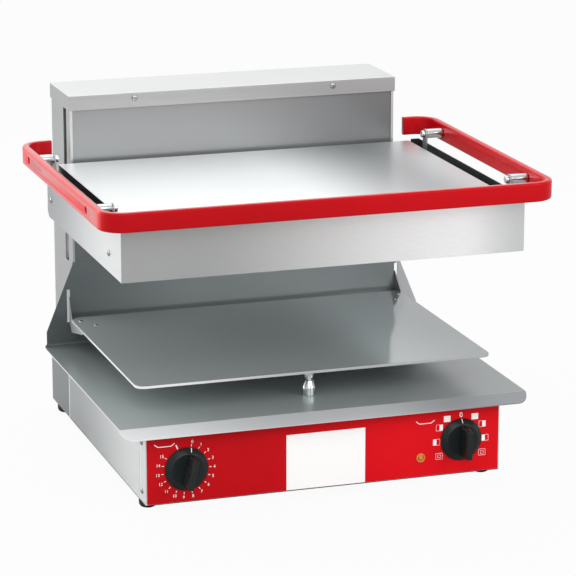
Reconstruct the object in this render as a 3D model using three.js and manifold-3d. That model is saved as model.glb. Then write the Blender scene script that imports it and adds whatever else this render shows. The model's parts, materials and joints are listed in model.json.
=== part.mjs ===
// A counter-top lift salamander: a heating hood slides on a rear column above a plate shelf and a work deck.
// Millimetres, +Z up. While it is built, X is measured from the middle, Y back from the front of the fascia
// and Z up from the underside of the base. The last lines set the whole on the origin.

import * as THREE from "three";
import { mergeVertices } from "three/addons/utils/BufferGeometryUtils.js";
import Module from "manifold-3d";

const wasm = await Module();
wasm.setup();

// Driving dimensions of the cabinet
const baseWidth = 539;
const cabinetDepth = 557;
const columnDepth = 115;
const deckTop = 118.3;
const capTop = 510.5;

// Shared allowances
const sheet = 1.5;
const fit = 0.3;
const overrun = 4;
const weld = 0.0005;

// Base, front tray and fascia
const trayReturn = 32;
const fasciaThickness = 1;
const fasciaMargin = 1.8;
const fasciaCornerRadius = 2;
const footHeight = 13;
const footRadius = 13;
const footSoleRadius = 8.5;
const footBelly = 3.5;
const footShoulder = 7;
const footSideInset = 0.2;
const footFrontInset = 39;
const footRearInset = 33;

// Deck, backsplash and column front, one folded sheet
const deckOverhang = 38.5;
const lipReach = 22;
const lipBend = 3;
const lipDrop = 11.4;
const deckCornerRadius = 18;
const deckFoldRadius = 5;
const wingInset = 4;
const flareRise = 24.2;
const flareHeight = 108;
const hookSlotDrop = 10.5;
const hookSlotHeight = 52;
const hookSlotWidth = 5;

// Column
const columnInset = 8;
const columnLip = 4;
const columnRearLip = 12;
const joggleRise = 10;
const slotWidth = 19;
const slotFlange = 9;
const slotSetback = 22;
const slotClearance = 10;
const slotTopMargin = 22;
const capSkirt = 23;
const ventWidth = 90;
const ventHeight = 5;
const ventPitch = 14;
const ventRows = 4;
const ventTopMargin = 60;
const ventBottomMargin = 110;

// Hood, at rest, with its travel down and up
const hoodLift = 211.7;
const hoodDrop = 105;
const hoodRaise = 85;
const hoodHeight = 81;
const hoodFront = 2;
const hoodColumnGap = 12;
const hoodFlange = 16;
const hoodRearFlange = 14;
const hoodCornerCut = 8;
const coverInset = 17.7;
const coverDrop = 2;
const coverFlange = 13;
const trayFrontGap = 16;
const trayRearGap = 10;
const trayHeight = 53;
const trayFlange = 25;
const trayFlangeGap = 8.2;
const insulationMargin = 2.5;

// Heating elements and their guard
const elementRadius = 4;
const elementHole = 4.4;
const elementDrop = 24;
const elementFirstShare = 0.1726;
const elementPitchShare = 0.2327;
const elementFrontGap = 40;
const elementRearGap = 30;
const elementRuns = 4;
const elementTurnSteps = 6;
const guardThickness = 2;
const guardLift = 4;
const guardBar = 4;
const guardColumns = 8;
const guardRows = 5;

// Handle rail and what holds it
const railStandoff = 35.8;
const railReach = 42;
const railRearReach = 38;
const railReturn = 51;
const railLift = 0.1;
const railThickness = 10.5;
const railHeight = 28.4;
const railCornerRadius = 36;
const railRounding = 4.5;
const railRecessRadius = 5.5;
const railRecessDepth = 5;
const lugThickness = 2.4;
const lugHalfWidth = 7.8;
const lugDepth = 45;
const lugFrontInset = 53;
const lugRearInset = 35.5;
const spacerRadius = 7.4;
const spacerChamfer = 1;
const boltRadius = 3;
const boltHeadRadius = 5.4;
const boltHeadLength = 5.4;
const boltSocketRadius = 2.5;
const boltSocketDepth = 3;

// Lift gear
const armClearance = 5;
const armThickness = 4;
const armReach = 120;
const armLift = 28;
const armHeight = 42;
const beamInset = 4;
const beamDepth = 14;
const guideRodInset = 36.5;
const guideRodSetback = 58;
const guideRodRadius = 6;
const guideBlockHalf = 18;
const crossbarHeight = 8;
const crossbarDrop = 9;
const rodTail = 3;
const gasInset = 111.5;
const gasRadius = 9;
const gasBore = 6.6;
const gasRodRadius = 4;
const gasPistonLength = 6;
const gasHeadroom = 11;
const gasEnd = 6;
const gasPistonClearance = 9;

// Plate shelf and its hook brackets
const shelfOverhang = 1;
const shelfFront = 38.4;
const shelfRearGap = 13.5;
const shelfRise = 47.7;
const shelfThickness = 4;
const shelfFrontRadius = 14;
const shelfRearRadius = 8;
const notchDepth = 9.5;
const bracketJoggle = 2.2;
const gussetLength = 68;
const gussetTipDrop = 2.5;
const gussetDepth = 16.5;
const bracketShoulderRise = 1;
const hookRise = 29;
const hookFinger = 8;
const hookFingerDrop = 12;
const tabReach = 38.2;
const tabLength = 44;
const tabSetback = 3;

// Plate sensor
const sensorSetback = 39.6;
const plungerStem = 4.8;
const plungerHead = 5.5;
const plungerFlange = 7.3;
const plungerNeck = 3.9;
const plungerFlangeHeight = 8;
const plungerTravel = 3.2;
const collarRadius = 10;
const collarLength = 3;
const bushShank = 6.8;
const bushShankLength = 10;
const bushRadius = 9.6;
const bushShoulder = 11.7;
const bushTopRadius = 5.9;
const bushHeight = 22.5;
const housingRadius = 15;
const housingFlange = 20;
const housingDepth = 40;
const housingFloor = 2;
const springRadius = 7.6;
const springWire = 0.8;
const springTurns = 5;
const switchLength = 28;
const switchWidth = 12;
const switchHeight = 16;

// Knobs, their switch bodies and the pilot lamp
const timerInset = 60;
const timerZ = 50.5;
const timerTurn = 12.4;
const selectorInset = 61;
const selectorZ = 53;
const knobRadius = 32;
const knobRim = 2.4;
const knobShoulder = 24.2;
const knobShoulderHeight = 9;
const knobDish = 2.5;
const knobHeight = 38;
const knobBarLength = 43;
const knobBarWidth = 10.5;
const knobBarTaper = 1.5;
const knobSeat = 0.6;
const shaftRadius = 3;
const shaftLength = 14;
const shaftClearance = 0.5;
const timerBody = 50;
const selectorBody = 44;
const controlDepth = 44;
const boreDepth = 14;
const lampOffset = 62.5;
const lampZ = 30.5;
const lampRadius = 7;
const lampRise = 2.6;
const lampBody = 4.7;
const lampDepth = 24;

// Mains inlet
const glandInset = 61.5;
const glandZ = 45;
const glandBody = 8;
const glandNut = 12;
const glandNutLength = 5;
const glandDome = 10;
const glandDomeLength = 9;
const glandBore = 4;
const glandInside = 12;
const terminalWidth = 70;
const terminalDepth = 24;
const terminalHeight = 26;
const terminalOffset = 90;
const terminalZ = 62;
const terminalGroove = 3;
const terminalCount = 5;

// Facet counts
const fineSides = 36;
const middleSides = 20;
const smallSides = 12;
const arcSteps = 5;
const wireArcSteps = 4;
const coilSteps = 8;

// Half widths, each stepped out or in from the one that carries it
const baseHalf = baseWidth / 2;
const deckHalf = baseHalf + deckOverhang;
const wingHalf = deckHalf - wingInset;
const columnHalf = baseHalf - columnInset;
const columnInside = columnHalf - sheet - fit;
const trayHalf = columnHalf + armClearance;
const armInside = trayHalf + fit;
const hoodInside = trayHalf + trayFlange + trayFlangeGap;
const hoodHalf = hoodInside + sheet;
const coverHalf = hoodHalf - coverInset;
const railHalf = hoodHalf + railStandoff;
const railEndHalf = railHalf - railReturn;
const shelfHalf = baseHalf + shelfOverhang;
const bracketOuter = shelfHalf - fit;
const bracketInner = bracketOuter - bracketJoggle;
const tabInner = bracketOuter - tabReach;
const hookSlotInner = bracketInner - sheet - fit;
const hookSlotOuter = hookSlotInner + hookSlotWidth;
const guideRodX = columnHalf - guideRodInset;
const gasX = columnHalf - gasInset;
const glandX = columnHalf - glandInset;
const terminalX = glandX - terminalOffset;
const timerX = timerInset - baseHalf;
const selectorX = baseHalf - selectorInset;
const lampX = selectorX - lampOffset;
const elementFirst = trayHalf * elementFirstShare;
const elementPitch = trayHalf * elementPitchShare;

// Depths
const wallFront = fasciaThickness + fit;
const wallBack = wallFront + sheet;
const columnFront = cabinetDepth - columnDepth;
const splashBack = columnFront + sheet;
const slotFront = columnFront + slotSetback;
const slotBack = slotFront + slotWidth;
const beamFront = slotFront + (slotWidth - beamDepth) / 2;
const beamBack = beamFront + beamDepth;
const guideRodY = columnFront + guideRodSetback;
const gasY = (beamFront + beamBack) / 2;
const hoodBack = columnFront - hoodColumnGap;
const trayFront = trayFrontGap - hoodFront;
const trayBack = hoodBack - trayRearGap;
const armFront = trayBack - armReach;
const railFront = hoodFront + railReach;
const railBack = hoodBack + railRearReach;
const lugFrontY = lugFrontInset - hoodFront;
const lugBackY = hoodBack - lugRearInset;
const shelfBack = columnFront - shelfRearGap;
const notchFront = shelfBack - notchDepth;
const gussetFront = notchFront - gussetLength;
const tabBack = notchFront - tabSetback;
const tabFront = tabBack - tabLength;
const sensorY = shelfFront + sensorSetback;

// Heights
const deckUnder = deckTop - sheet;
const baseTop = deckUnder - fit;
const flareBottom = deckTop + flareRise;
const flareTop = flareBottom + flareHeight;
const sideTop = capTop - sheet - fit;
const hoodBottom = deckTop + hoodLift;
const hoodTop = hoodBottom + hoodHeight;
const coverTop = hoodTop - coverDrop;
const coverUnder = coverTop - sheet;
const trayFlangeTop = hoodBottom + sheet + fit + sheet;
const trayTop = trayFlangeTop + trayHeight;
const armBottom = hoodBottom + armLift;
const armTop = armBottom + armHeight;
const beamBottom = armBottom + beamInset;
const beamTop = armTop - beamInset;
const slotBottom = beamBottom - hoodDrop - slotClearance;
const slotTop = sideTop - slotTopMargin;
const gasTop = beamBottom - hoodDrop - gasHeadroom;
const gasPistonStart = gasTop - gasEnd - hoodRaise - gasPistonClearance - gasPistonLength;
const railBottom = hoodTop + railLift;
const railMiddle = railBottom + railHeight / 2;
const shelfTop = deckTop + shelfRise;
const shelfUnder = shelfTop - shelfThickness;
const bracketShoulder = shelfTop + bracketShoulderRise;
const hookTop = shelfTop + hookRise;
const hookSlotBottom = shelfTop - hookSlotDrop;
const hookSlotTop = hookSlotBottom + hookSlotHeight;
const bushTop = deckTop + fit + bushHeight;
const shankBottom = deckTop - bushShankLength;
const housingTop = deckUnder - fit;
const housingBottom = housingTop - housingDepth;
const collarTop = shankBottom - fit;
const collarBottom = collarTop - collarLength;
const plungerFlangeBottom = bushTop + plungerNeck;
const plungerFlangeTop = plungerFlangeBottom + plungerFlangeHeight;
const elementSteps = elementRuns + (elementRuns - 1) * elementTurnSteps;

// Finishes
const brushedSteel = { color: 0xb8bcbe, roughness: 0.42, metalness: 0.85 };
const darkSteel = { color: 0x8d9192, roughness: 0.5, metalness: 0.8 };
const redEnamel = { color: 0xd01724, roughness: 0.3, metalness: 0 };
const chrome = { color: 0xd5d8da, roughness: 0.15, metalness: 1 };
const blackPlastic = { color: 0x202426, roughness: 0.45, metalness: 0 };
const greyPlastic = { color: 0x9a9d9b, roughness: 0.6, metalness: 0 };
const blackRubber = { color: 0x1b1c1d, roughness: 0.85, metalness: 0 };
const amberLens = { color: 0xef8b1d, roughness: 0.2, metalness: 0 };
const ceramicFibre = { color: 0xe7e4da, roughness: 0.95, metalness: 0 };
const darkElement = { color: 0x3d3f40, roughness: 0.6, metalness: 0.6 };

// Turns a closed geometry into a solid that can be joined and cut.
function solid(geometry) {
  const bare = geometry.index ? geometry.toNonIndexed() : geometry.clone();
  bare.deleteAttribute("normal");
  bare.deleteAttribute("uv");
  const merged = mergeVertices(bare, weld);
  const corners = merged.index.array;
  const faces = [];
  for (let i = 0; i < corners.length; i += 3) {
    const [a, b, c] = corners.slice(i, i + 3);
    if (a !== b && b !== c && c !== a) faces.push(a, b, c);
  }
  return new wasm.Manifold(
    new wasm.Mesh({
      numProp: 3,
      vertProperties: merged.attributes.position.array,
      triVerts: new Uint32Array(faces),
    }),
  );
}

// Turns a solid back into a geometry.
function surface(body) {
  const mesh = body.getMesh();
  const geometry = new THREE.BufferGeometry();
  geometry.setAttribute("position", new THREE.BufferAttribute(mesh.vertProperties, 3));
  geometry.setIndex(new THREE.BufferAttribute(mesh.triVerts, 1));
  return geometry;
}

function join(first, ...others) {
  return surface(others.reduce((body, other) => body.add(solid(other)), solid(first)));
}

function cut(first, ...others) {
  return surface(others.reduce((body, other) => body.subtract(solid(other)), solid(first)));
}

function common(first, ...others) {
  return surface(others.reduce((body, other) => body.intersect(solid(other)), solid(first)));
}

function box(x0, x1, y0, y1, z0, z1) {
  const geometry = new THREE.BoxGeometry(x1 - x0, y1 - y0, z1 - z0);
  return geometry.translate((x0 + x1) / 2, (y0 + y1) / 2, (z0 + z1) / 2);
}

function outline(points) {
  return new THREE.Shape(points.map(([a, b]) => new THREE.Vector2(a, b)));
}

// Prisms along the three axes. Their shapes are drawn in (x, y), (x, z) and (y, z).
function prismZ(shape, z0, z1) {
  const options = { depth: z1 - z0, bevelEnabled: false, curveSegments: arcSteps };
  return new THREE.ExtrudeGeometry(shape, options).translate(0, 0, z0);
}

function prismY(shape, y0, y1) {
  return prismZ(shape, 0, y1 - y0).rotateX(Math.PI / 2).translate(0, y1, 0);
}

function prismX(shape, x0, x1) {
  const turn = new THREE.Matrix4().makeBasis(
    new THREE.Vector3(0, 1, 0),
    new THREE.Vector3(0, 0, 1),
    new THREE.Vector3(1, 0, 0),
  );
  return prismZ(shape, 0, x1 - x0).applyMatrix4(turn).translate(x0, 0, 0);
}

// Reverses the faces of a geometry that is inside out.
function facingOut(geometry) {
  const faces = geometry.index.array;
  const points = geometry.attributes.position;
  const [a, b, c] = [new THREE.Vector3(), new THREE.Vector3(), new THREE.Vector3()];
  let volume = 0;
  for (let i = 0; i < faces.length; i += 3) {
    a.fromBufferAttribute(points, faces[i]);
    b.fromBufferAttribute(points, faces[i + 1]);
    c.fromBufferAttribute(points, faces[i + 2]);
    volume += a.dot(b.cross(c));
  }
  if (volume < 0) geometry.setIndex(Array.from(faces).reverse());
  return geometry;
}

// A turned piece about the Z axis, from its profile of (radius, height) points.
function turned(profile, sides) {
  const points = profile.map(([radius, height]) => new THREE.Vector2(radius, height));
  return facingOut(surface(solid(facingOut(new THREE.LatheGeometry(points, sides).rotateX(Math.PI / 2)))));
}

function rod(radius, z0, z1, sides) {
  return turned([[0, z0], [radius, z0], [radius, z1], [0, z1]], sides);
}

// Lays a piece turned about Z along X, its upper end towards +X, or along Y, its upper end to the front.
function layAlongX(geometry) {
  return geometry.rotateY(Math.PI / 2);
}

function layToFront(geometry) {
  return geometry.rotateX(Math.PI / 2);
}

function mirrored(geometry) {
  const other = geometry.clone().scale(-1, 1, 1);
  other.setIndex(Array.from(other.index.array).reverse());
  return other;
}

const grill = new THREE.Group();
const cabinet = new THREE.Group();
const hood = new THREE.Group();
const shelf = new THREE.Group();
grill.add(cabinet, hood, shelf);

function place(group, name, geometry, finish, x = 0, y = 0, z = 0) {
  const mesh = new THREE.Mesh(geometry, new THREE.MeshStandardMaterial(finish));
  mesh.name = name;
  mesh.position.set(x, y, z);
  group.add(mesh);
  return mesh;
}

const sides = [["left", -1], ["right", 1]];

// A round hole along Y through the front panels.
function frontHole(radius, x, z) {
  const drill = rod(radius, -overrun, wallBack + overrun, middleSides);
  return layToFront(drill).translate(x, wallBack, z);
}

function controlHoles() {
  const clearance = shaftRadius + shaftClearance;
  return [
    frontHole(clearance, timerX, timerZ),
    frontHole(clearance, selectorX, selectorZ),
    frontHole(lampBody + fit, lampX, lampZ),
  ];
}

// Floor and side panels of the base, folded from one sheet.
function makeBaseShell() {
  const narrow = baseHalf - sheet - fit;
  const front = wallBack + fit;
  const step = trayReturn + fit;
  const rear = cabinetDepth - sheet - fit;
  const half = [[narrow, front], [narrow, step], [baseHalf, step], [baseHalf, splashBack],
    [narrow, splashBack], [narrow, rear]];
  const otherHalf = half.map(([x, y]) => [-x, y]).reverse();
  const floor = prismZ(outline([...half, ...otherHalf]), 0, sheet);
  const wall = box(baseHalf - sheet, baseHalf, step, splashBack, 0, baseTop);
  return join(floor, wall, mirrored(wall));
}

function makeFrontTray() {
  const inside = baseHalf - sheet;
  return cut(
    box(-baseHalf, baseHalf, wallFront, trayReturn, 0, baseTop),
    box(-inside, inside, wallBack, trayReturn + overrun, -overrun, baseTop + overrun),
    ...controlHoles(),
  );
}

function makeFascia() {
  const half = baseHalf - fasciaMargin;
  const cornerX = half - fasciaCornerRadius;
  const low = fasciaMargin + fasciaCornerRadius;
  const high = baseTop - low;
  const shape = new THREE.Shape();
  shape.absarc(cornerX, low, fasciaCornerRadius, -Math.PI / 2, 0, false);
  shape.absarc(cornerX, high, fasciaCornerRadius, 0, Math.PI / 2, false);
  shape.absarc(-cornerX, high, fasciaCornerRadius, Math.PI / 2, Math.PI, false);
  shape.absarc(-cornerX, low, fasciaCornerRadius, Math.PI, 1.5 * Math.PI, false);
  return cut(prismY(shape, 0, fasciaThickness), ...controlHoles());
}

// The side view of the folded deck: sloped lip, flat deck, round bend and upright backsplash.
function deckProfile() {
  const shape = new THREE.Shape();
  const bendY = columnFront - deckFoldRadius;
  const bendZ = deckTop + deckFoldRadius;
  shape.moveTo(-lipReach, deckTop - lipDrop);
  shape.lineTo(-lipReach, deckUnder - lipDrop);
  shape.lineTo(-lipBend, deckUnder);
  shape.lineTo(bendY, deckUnder);
  shape.absarc(bendY, bendZ, deckFoldRadius + sheet, -Math.PI / 2, 0, false);
  shape.lineTo(splashBack, sideTop);
  shape.lineTo(columnFront, sideTop);
  shape.lineTo(columnFront, bendZ);
  shape.absarc(bendY, bendZ, deckFoldRadius, 0, -Math.PI / 2, true);
  shape.lineTo(-lipBend, deckTop);
  return shape;
}

function makeDeckSheet() {
  const plan = new THREE.Shape();
  const cornerX = deckHalf - deckCornerRadius;
  const cornerY = deckCornerRadius - lipReach;
  const rear = splashBack + overrun;
  plan.moveTo(deckHalf, rear);
  plan.lineTo(-deckHalf, rear);
  plan.absarc(-cornerX, cornerY, deckCornerRadius, Math.PI, 1.5 * Math.PI, false);
  plan.absarc(cornerX, cornerY, deckCornerRadius, -Math.PI / 2, 0, false);
  const half = [[deckHalf, 0], [deckHalf, deckTop], [wingHalf, deckTop + deckFoldRadius], [wingHalf, flareBottom],
    [columnInside, flareTop], [columnInside, capTop]];
  const front = outline([...half, ...half.map(([x, z]) => [-x, z]).reverse()]);
  const hookSlot = box(hookSlotInner, hookSlotOuter, columnFront - overrun, splashBack + overrun,
    hookSlotBottom, hookSlotTop);
  const folded = common(
    prismX(deckProfile(), -deckHalf, deckHalf),
    prismZ(plan, 0, capTop),
    prismY(front, -lipReach - overrun, splashBack + overrun),
  );
  const sensorHole = rod(bushShank + fit, deckUnder - overrun, deckTop + overrun, middleSides);
  return cut(folded, hookSlot, mirrored(hookSlot), sensorHole.translate(0, sensorY, 0));
}

// A column side plate: flush with the base below the deck, set in by a joggle above it, with a front and a
// rear lip and the long slot for the hood's carriage, whose edges are turned in.
function makeColumnSide() {
  const lipFront = columnFront - fit - sheet;
  const backLip = cabinetDepth - sheet - fit;
  const lowFront = splashBack + fit;
  const lowTop = flareTop + fit;
  const set = (inset) => [
    [baseHalf - inset, 0],
    [baseHalf - inset, baseTop],
    [columnHalf - inset, baseTop + joggleRise],
    [columnHalf - inset, sideTop],
  ];
  const section = outline([...set(0), ...set(sheet).reverse()]);
  const plate = outline([
    [lowFront, 0],
    [cabinetDepth, 0],
    [cabinetDepth, sideTop],
    [lipFront, sideTop],
    [lipFront, lowTop],
    [lowFront, lowTop],
  ]);
  const wall = common(prismY(section, lipFront, cabinetDepth), prismX(plate, 0, baseHalf + overrun));
  const frontLip = box(columnHalf - columnLip, columnHalf, lipFront, columnFront - fit, lowTop, sideTop);
  const rearSection = outline([
    [columnHalf - columnRearLip, sheet + fit],
    [baseHalf - sheet / 2, sheet + fit],
    [baseHalf - sheet / 2, baseTop],
    [columnHalf - sheet / 2, baseTop + joggleRise],
    [columnHalf - sheet / 2, sideTop],
    [columnHalf - columnRearLip, sideTop],
  ]);
  const rearLip = prismY(rearSection, backLip - sheet, backLip);
  const flanges = box(columnHalf - slotFlange, columnHalf, slotFront - sheet, slotBack + sheet, slotBottom, slotTop);
  const slot = box(columnHalf - slotFlange - overrun, columnHalf + overrun, slotFront, slotBack, slotBottom, slotTop);
  return cut(join(wall, frontLip, rearLip, flanges), slot);
}

function makeColumnBack() {
  const front = cabinetDepth - sheet;
  const vents = [];
  for (const bottom of [ventBottomMargin, sideTop - ventTopMargin - ventRows * ventPitch]) {
    for (let row = 0; row < ventRows; row += 1) {
      const z = bottom + row * ventPitch;
      const vent = box(ventWidth / 2, ventWidth / 2 + ventWidth, front - overrun, cabinetDepth + overrun,
        z, z + ventHeight);
      vents.push(vent, mirrored(vent));
    }
  }
  const panel = box(-columnInside, columnInside, front, cabinetDepth, sheet + fit, sideTop - fit);
  const inlet = layToFront(rod(glandBody + fit, -overrun, sheet + overrun, middleSides));
  return cut(panel, ...vents, inlet.translate(glandX, cabinetDepth, glandZ));
}

function makeCap() {
  const inner = columnHalf + fit;
  const outer = inner + sheet;
  const innerFront = columnFront - fit - sheet - fit;
  const innerBack = cabinetDepth + fit;
  const bottom = capTop - capSkirt;
  return cut(
    box(-outer, outer, innerFront - sheet, innerBack + sheet, bottom, capTop),
    box(-inner, inner, innerFront, innerBack, bottom - overrun, capTop - sheet),
  );
}

// A domed rubber foot: a flat sole, a belly and an upright shoulder under the floor.
function makeFoot() {
  return turned([
    [0, -footHeight],
    [footSoleRadius, -footHeight],
    [(footSoleRadius + footRadius) / 2, footBelly / 2 - footHeight],
    [footRadius, -footShoulder],
    [footRadius, -fit],
    [0, -fit],
  ], middleSides);
}

// A switch body behind the front wall, with a bore for its knob's shaft.
function makeControlBody(width) {
  const front = wallBack + fit;
  const bore = layToFront(rod(shaftRadius + shaftClearance, -boreDepth, overrun, smallSides));
  return cut(
    box(-width / 2, width / 2, front, front + controlDepth, -width / 2, width / 2),
    bore.translate(0, front, 0),
  );
}

// A knob about its shaft: flange, cone, dished face and grip bar. Its front points to -Y.
function makeKnob() {
  const coneEnd = knobShoulderHeight;
  const flange = turned([
    [0, -shaftLength],
    [shaftRadius, -shaftLength],
    [shaftRadius, knobSeat],
    [knobRadius, knobSeat],
    [knobRadius, knobRim],
    [knobShoulder, coneEnd],
    [knobShoulder - knobDish, coneEnd],
    [0, coneEnd - knobDish],
  ], fineSides);
  const half = knobBarWidth / 2;
  const bar = prismX(outline([
    [-half, knobRim],
    [half, knobRim],
    [half - knobBarTaper / 2, knobHeight],
    [knobBarTaper / 2 - half, knobHeight],
  ]), -knobBarLength / 2, knobBarLength / 2).rotateZ(Math.PI / 2);
  const round = turned([
    [0, 0],
    [knobShoulder, 0],
    [knobBarLength / 2, knobHeight],
    [0, knobHeight],
  ], fineSides);
  return layToFront(join(flange, common(bar, round)));
}

function makeLamp() {
  return layToFront(turned([
    [0, -lampDepth],
    [lampBody, -lampDepth],
    [lampBody, fit],
    [lampRadius, fit],
    [lampRadius, lampRise / 2],
    [lampBody, lampRise],
    [0, lampRise],
  ], middleSides));
}

// Plate sensor: guide bush on the deck, housing under it, and the plunger that the shelf rests on.
function makeSensorBush() {
  const bore = plungerStem + fit;
  const foot = deckTop + fit;
  return turned([
    [bore, shankBottom],
    [bushShank, shankBottom],
    [bushShank, foot],
    [bushRadius, foot],
    [bushRadius, deckTop + bushShoulder],
    [bushTopRadius, bushTop],
    [bore, bushTop],
    [bore, shankBottom],
  ], middleSides);
}

function makeSensorHousing() {
  const hole = plungerStem + fit;
  const inside = housingRadius - sheet;
  return turned([
    [hole, housingBottom],
    [housingRadius, housingBottom],
    [housingRadius, housingTop - housingFloor],
    [housingFlange, housingTop - housingFloor],
    [housingFlange, housingTop],
    [inside, housingTop],
    [inside, housingBottom + housingFloor],
    [hole, housingBottom + housingFloor],
    [hole, housingBottom],
  ], middleSides);
}

function makePlunger() {
  const foot = housingBottom + plungerTravel + fit;
  return turned([
    [0, foot],
    [plungerStem, foot],
    [plungerStem, collarBottom],
    [collarRadius, collarBottom],
    [collarRadius, collarTop],
    [plungerStem, collarTop],
    [plungerStem, plungerFlangeBottom],
    [plungerFlange, plungerFlangeBottom],
    [plungerFlange, plungerFlangeTop],
    [plungerHead, plungerFlangeTop],
    [plungerHead, shelfUnder - fit],
    [0, shelfUnder - fit],
  ], middleSides);
}

class Helix extends THREE.Curve {
  getPoint(t, target = new THREE.Vector3()) {
    const turn = 2 * Math.PI * springTurns * t;
    const low = housingBottom + housingFloor + fit + springWire;
    const high = collarBottom - fit - springWire;
    return target.set(springRadius * Math.cos(turn), springRadius * Math.sin(turn), low + (high - low) * t);
  }
}

function makeSpring() {
  const wire = new THREE.Shape();
  wire.absarc(0, 0, springWire, 0, 2 * Math.PI, false);
  const options = {
    steps: coilSteps * springTurns,
    extrudePath: new Helix(),
    curveSegments: wireArcSteps,
    bevelEnabled: false,
  };
  return surface(solid(new THREE.ExtrudeGeometry(wire, options)));
}

function makeTerminalBlock() {
  const back = cabinetDepth - sheet - fit;
  const low = terminalZ - terminalHeight / 2;
  const high = terminalZ + terminalHeight / 2;
  const block = box(terminalX - terminalWidth / 2, terminalX + terminalWidth / 2, back - terminalDepth, back,
    low, high);
  const pitch = terminalWidth / terminalCount;
  const grooves = [];
  for (let i = 1; i < terminalCount; i += 1) {
    const x = terminalX - terminalWidth / 2 + i * pitch;
    grooves.push(box(x - terminalGroove / 2, x + terminalGroove / 2, back - terminalDepth - overrun,
      back - terminalDepth / 2, low - overrun, high + overrun));
  }
  return cut(block, ...grooves);
}

function makeGland() {
  const nut = fit + glandNutLength;
  return layToFront(turned([
    [glandBore, -nut - glandDomeLength],
    [glandDome - sheet, -nut - glandDomeLength],
    [glandDome, -nut - glandDomeLength / 2],
    [glandDome, -nut],
    [glandNut, -nut],
    [glandNut, -fit],
    [glandBody, -fit],
    [glandBody, glandInside],
    [glandBore, glandInside],
    [glandBore, -nut - glandDomeLength],
  ], middleSides));
}

// The hood's outer shell: front and side walls, in-turned bottom flange and rear flanges.
function makeHoodShell() {
  const mouthHalf = hoodHalf - hoodFlange;
  const rearHalf = hoodHalf - hoodRearFlange;
  const block = box(-hoodHalf, hoodHalf, -hoodFront, hoodBack, hoodBottom, hoodTop);
  const hollow = box(-hoodInside, hoodInside, sheet - hoodFront, hoodBack - sheet, hoodBottom + sheet,
    hoodTop + overrun);
  const mouth = box(-mouthHalf, mouthHalf, hoodFlange - hoodFront, hoodBack + overrun, hoodBottom - overrun,
    hoodTop);
  const back = box(-rearHalf, rearHalf, hoodBack - sheet - overrun, hoodBack + overrun,
    hoodBottom - overrun, hoodTop + overrun);
  const corner = prismX(outline([
    [hoodBack - hoodCornerCut, hoodBottom - overrun],
    [hoodBack + overrun, hoodBottom - overrun],
    [hoodBack + overrun, hoodBottom + hoodCornerCut],
    [hoodBack, hoodBottom + hoodCornerCut],
    [hoodBack - hoodCornerCut, hoodBottom],
  ]), -hoodHalf - overrun, hoodHalf + overrun);
  return cut(block, hollow, mouth, back, corner);
}

function makeHoodCover() {
  const front = sheet - hoodFront + fit;
  const back = hoodBack - sheet - fit;
  const flangeBottom = coverTop - coverFlange;
  return cut(
    box(-coverHalf, coverHalf, front, back, flangeBottom, coverTop),
    box(sheet - coverHalf, coverHalf - sheet, front - overrun, back + overrun, flangeBottom - overrun, coverUnder),
  );
}

function elementPlaces() {
  return [elementFirst, elementFirst + (elementRuns - 1) * elementPitch];
}

// The reflector tray: open below, with a flange that rests on the shell's bottom flange.
function makeHeaterTray() {
  const flangeBottom = hoodBottom + sheet + fit;
  const body = box(-trayHalf, trayHalf, trayFront, trayBack, flangeBottom, trayTop);
  const flange = box(-trayHalf - trayFlange, trayHalf + trayFlange, trayFront - trayFrontGap + sheet + fit,
    trayBack + sheet + overrun, flangeBottom, trayFlangeTop);
  const hollow = box(sheet - trayHalf, trayHalf - sheet, trayFront + sheet, trayBack - sheet,
    flangeBottom - overrun, trayTop - sheet);
  const holes = [];
  for (const x of elementPlaces()) {
    const hole = layToFront(rod(elementHole, -overrun, sheet + overrun, smallSides));
    const side = hole.translate(x, trayBack, trayTop - elementDrop);
    holes.push(side, mirrored(side));
  }
  return cut(join(body, flange), hollow, ...holes);
}

function makeInsulation() {
  const half = trayHalf - insulationMargin;
  return box(-half, half, trayFront + insulationMargin, trayBack - insulationMargin, trayTop + fit, coverUnder - fit);
}

function makeRearPanel() {
  const front = trayBack + fit + sheet;
  return box(-trayHalf + fit, trayHalf - fit, front, front + sheet, trayFlangeTop + fit, coverUnder - fit);
}

// Straight runs joined by half-round turns, with both ends through the tray's rear wall. Its parameter gives
// one step to each straight run and elementTurnSteps to each turn.
class Serpentine extends THREE.Curve {
  getPointAt(t, target) {
    return this.getPoint(t, target);
  }

  getTangentAt(t, target) {
    return this.getTangent(t, target);
  }

  getPoint(t, target = new THREE.Vector3()) {
    const bend = elementPitch / 2;
    const front = trayFront + elementFrontGap + bend;
    const rear = trayBack - elementRearGap - bend;
    const end = trayBack + sheet - fit;
    const z = trayTop - elementDrop;
    let left = t * elementSteps;
    for (let run = 0; run < elementRuns; run += 1) {
      const forward = run % 2 === 0;
      const x = elementFirst + run * elementPitch;
      const start = run === 0 ? end : rear;
      const stop = run === elementRuns - 1 ? end : rear;
      const [from, to] = forward ? [start, front] : [front, stop];
      if (left <= 1) return target.set(x, from + (to - from) * left, z);
      left -= 1;
      if (left <= elementTurnSteps) {
        const angle = (Math.PI * left) / elementTurnSteps;
        const depth = bend * Math.sin(angle);
        return target.set(x + bend - bend * Math.cos(angle), forward ? to - depth : to + depth, z);
      }
      left -= elementTurnSteps;
    }
    return target.set(elementFirst + (elementRuns - 1) * elementPitch, end, z);
  }
}

function makeElement() {
  const wire = new THREE.Shape();
  wire.absarc(0, 0, elementRadius, 0, 2 * Math.PI, false);
  const options = {
    steps: elementSteps,
    extrudePath: new Serpentine(),
    curveSegments: wireArcSteps,
    bevelEnabled: false,
  };
  return surface(solid(new THREE.ExtrudeGeometry(wire, options)));
}

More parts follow.
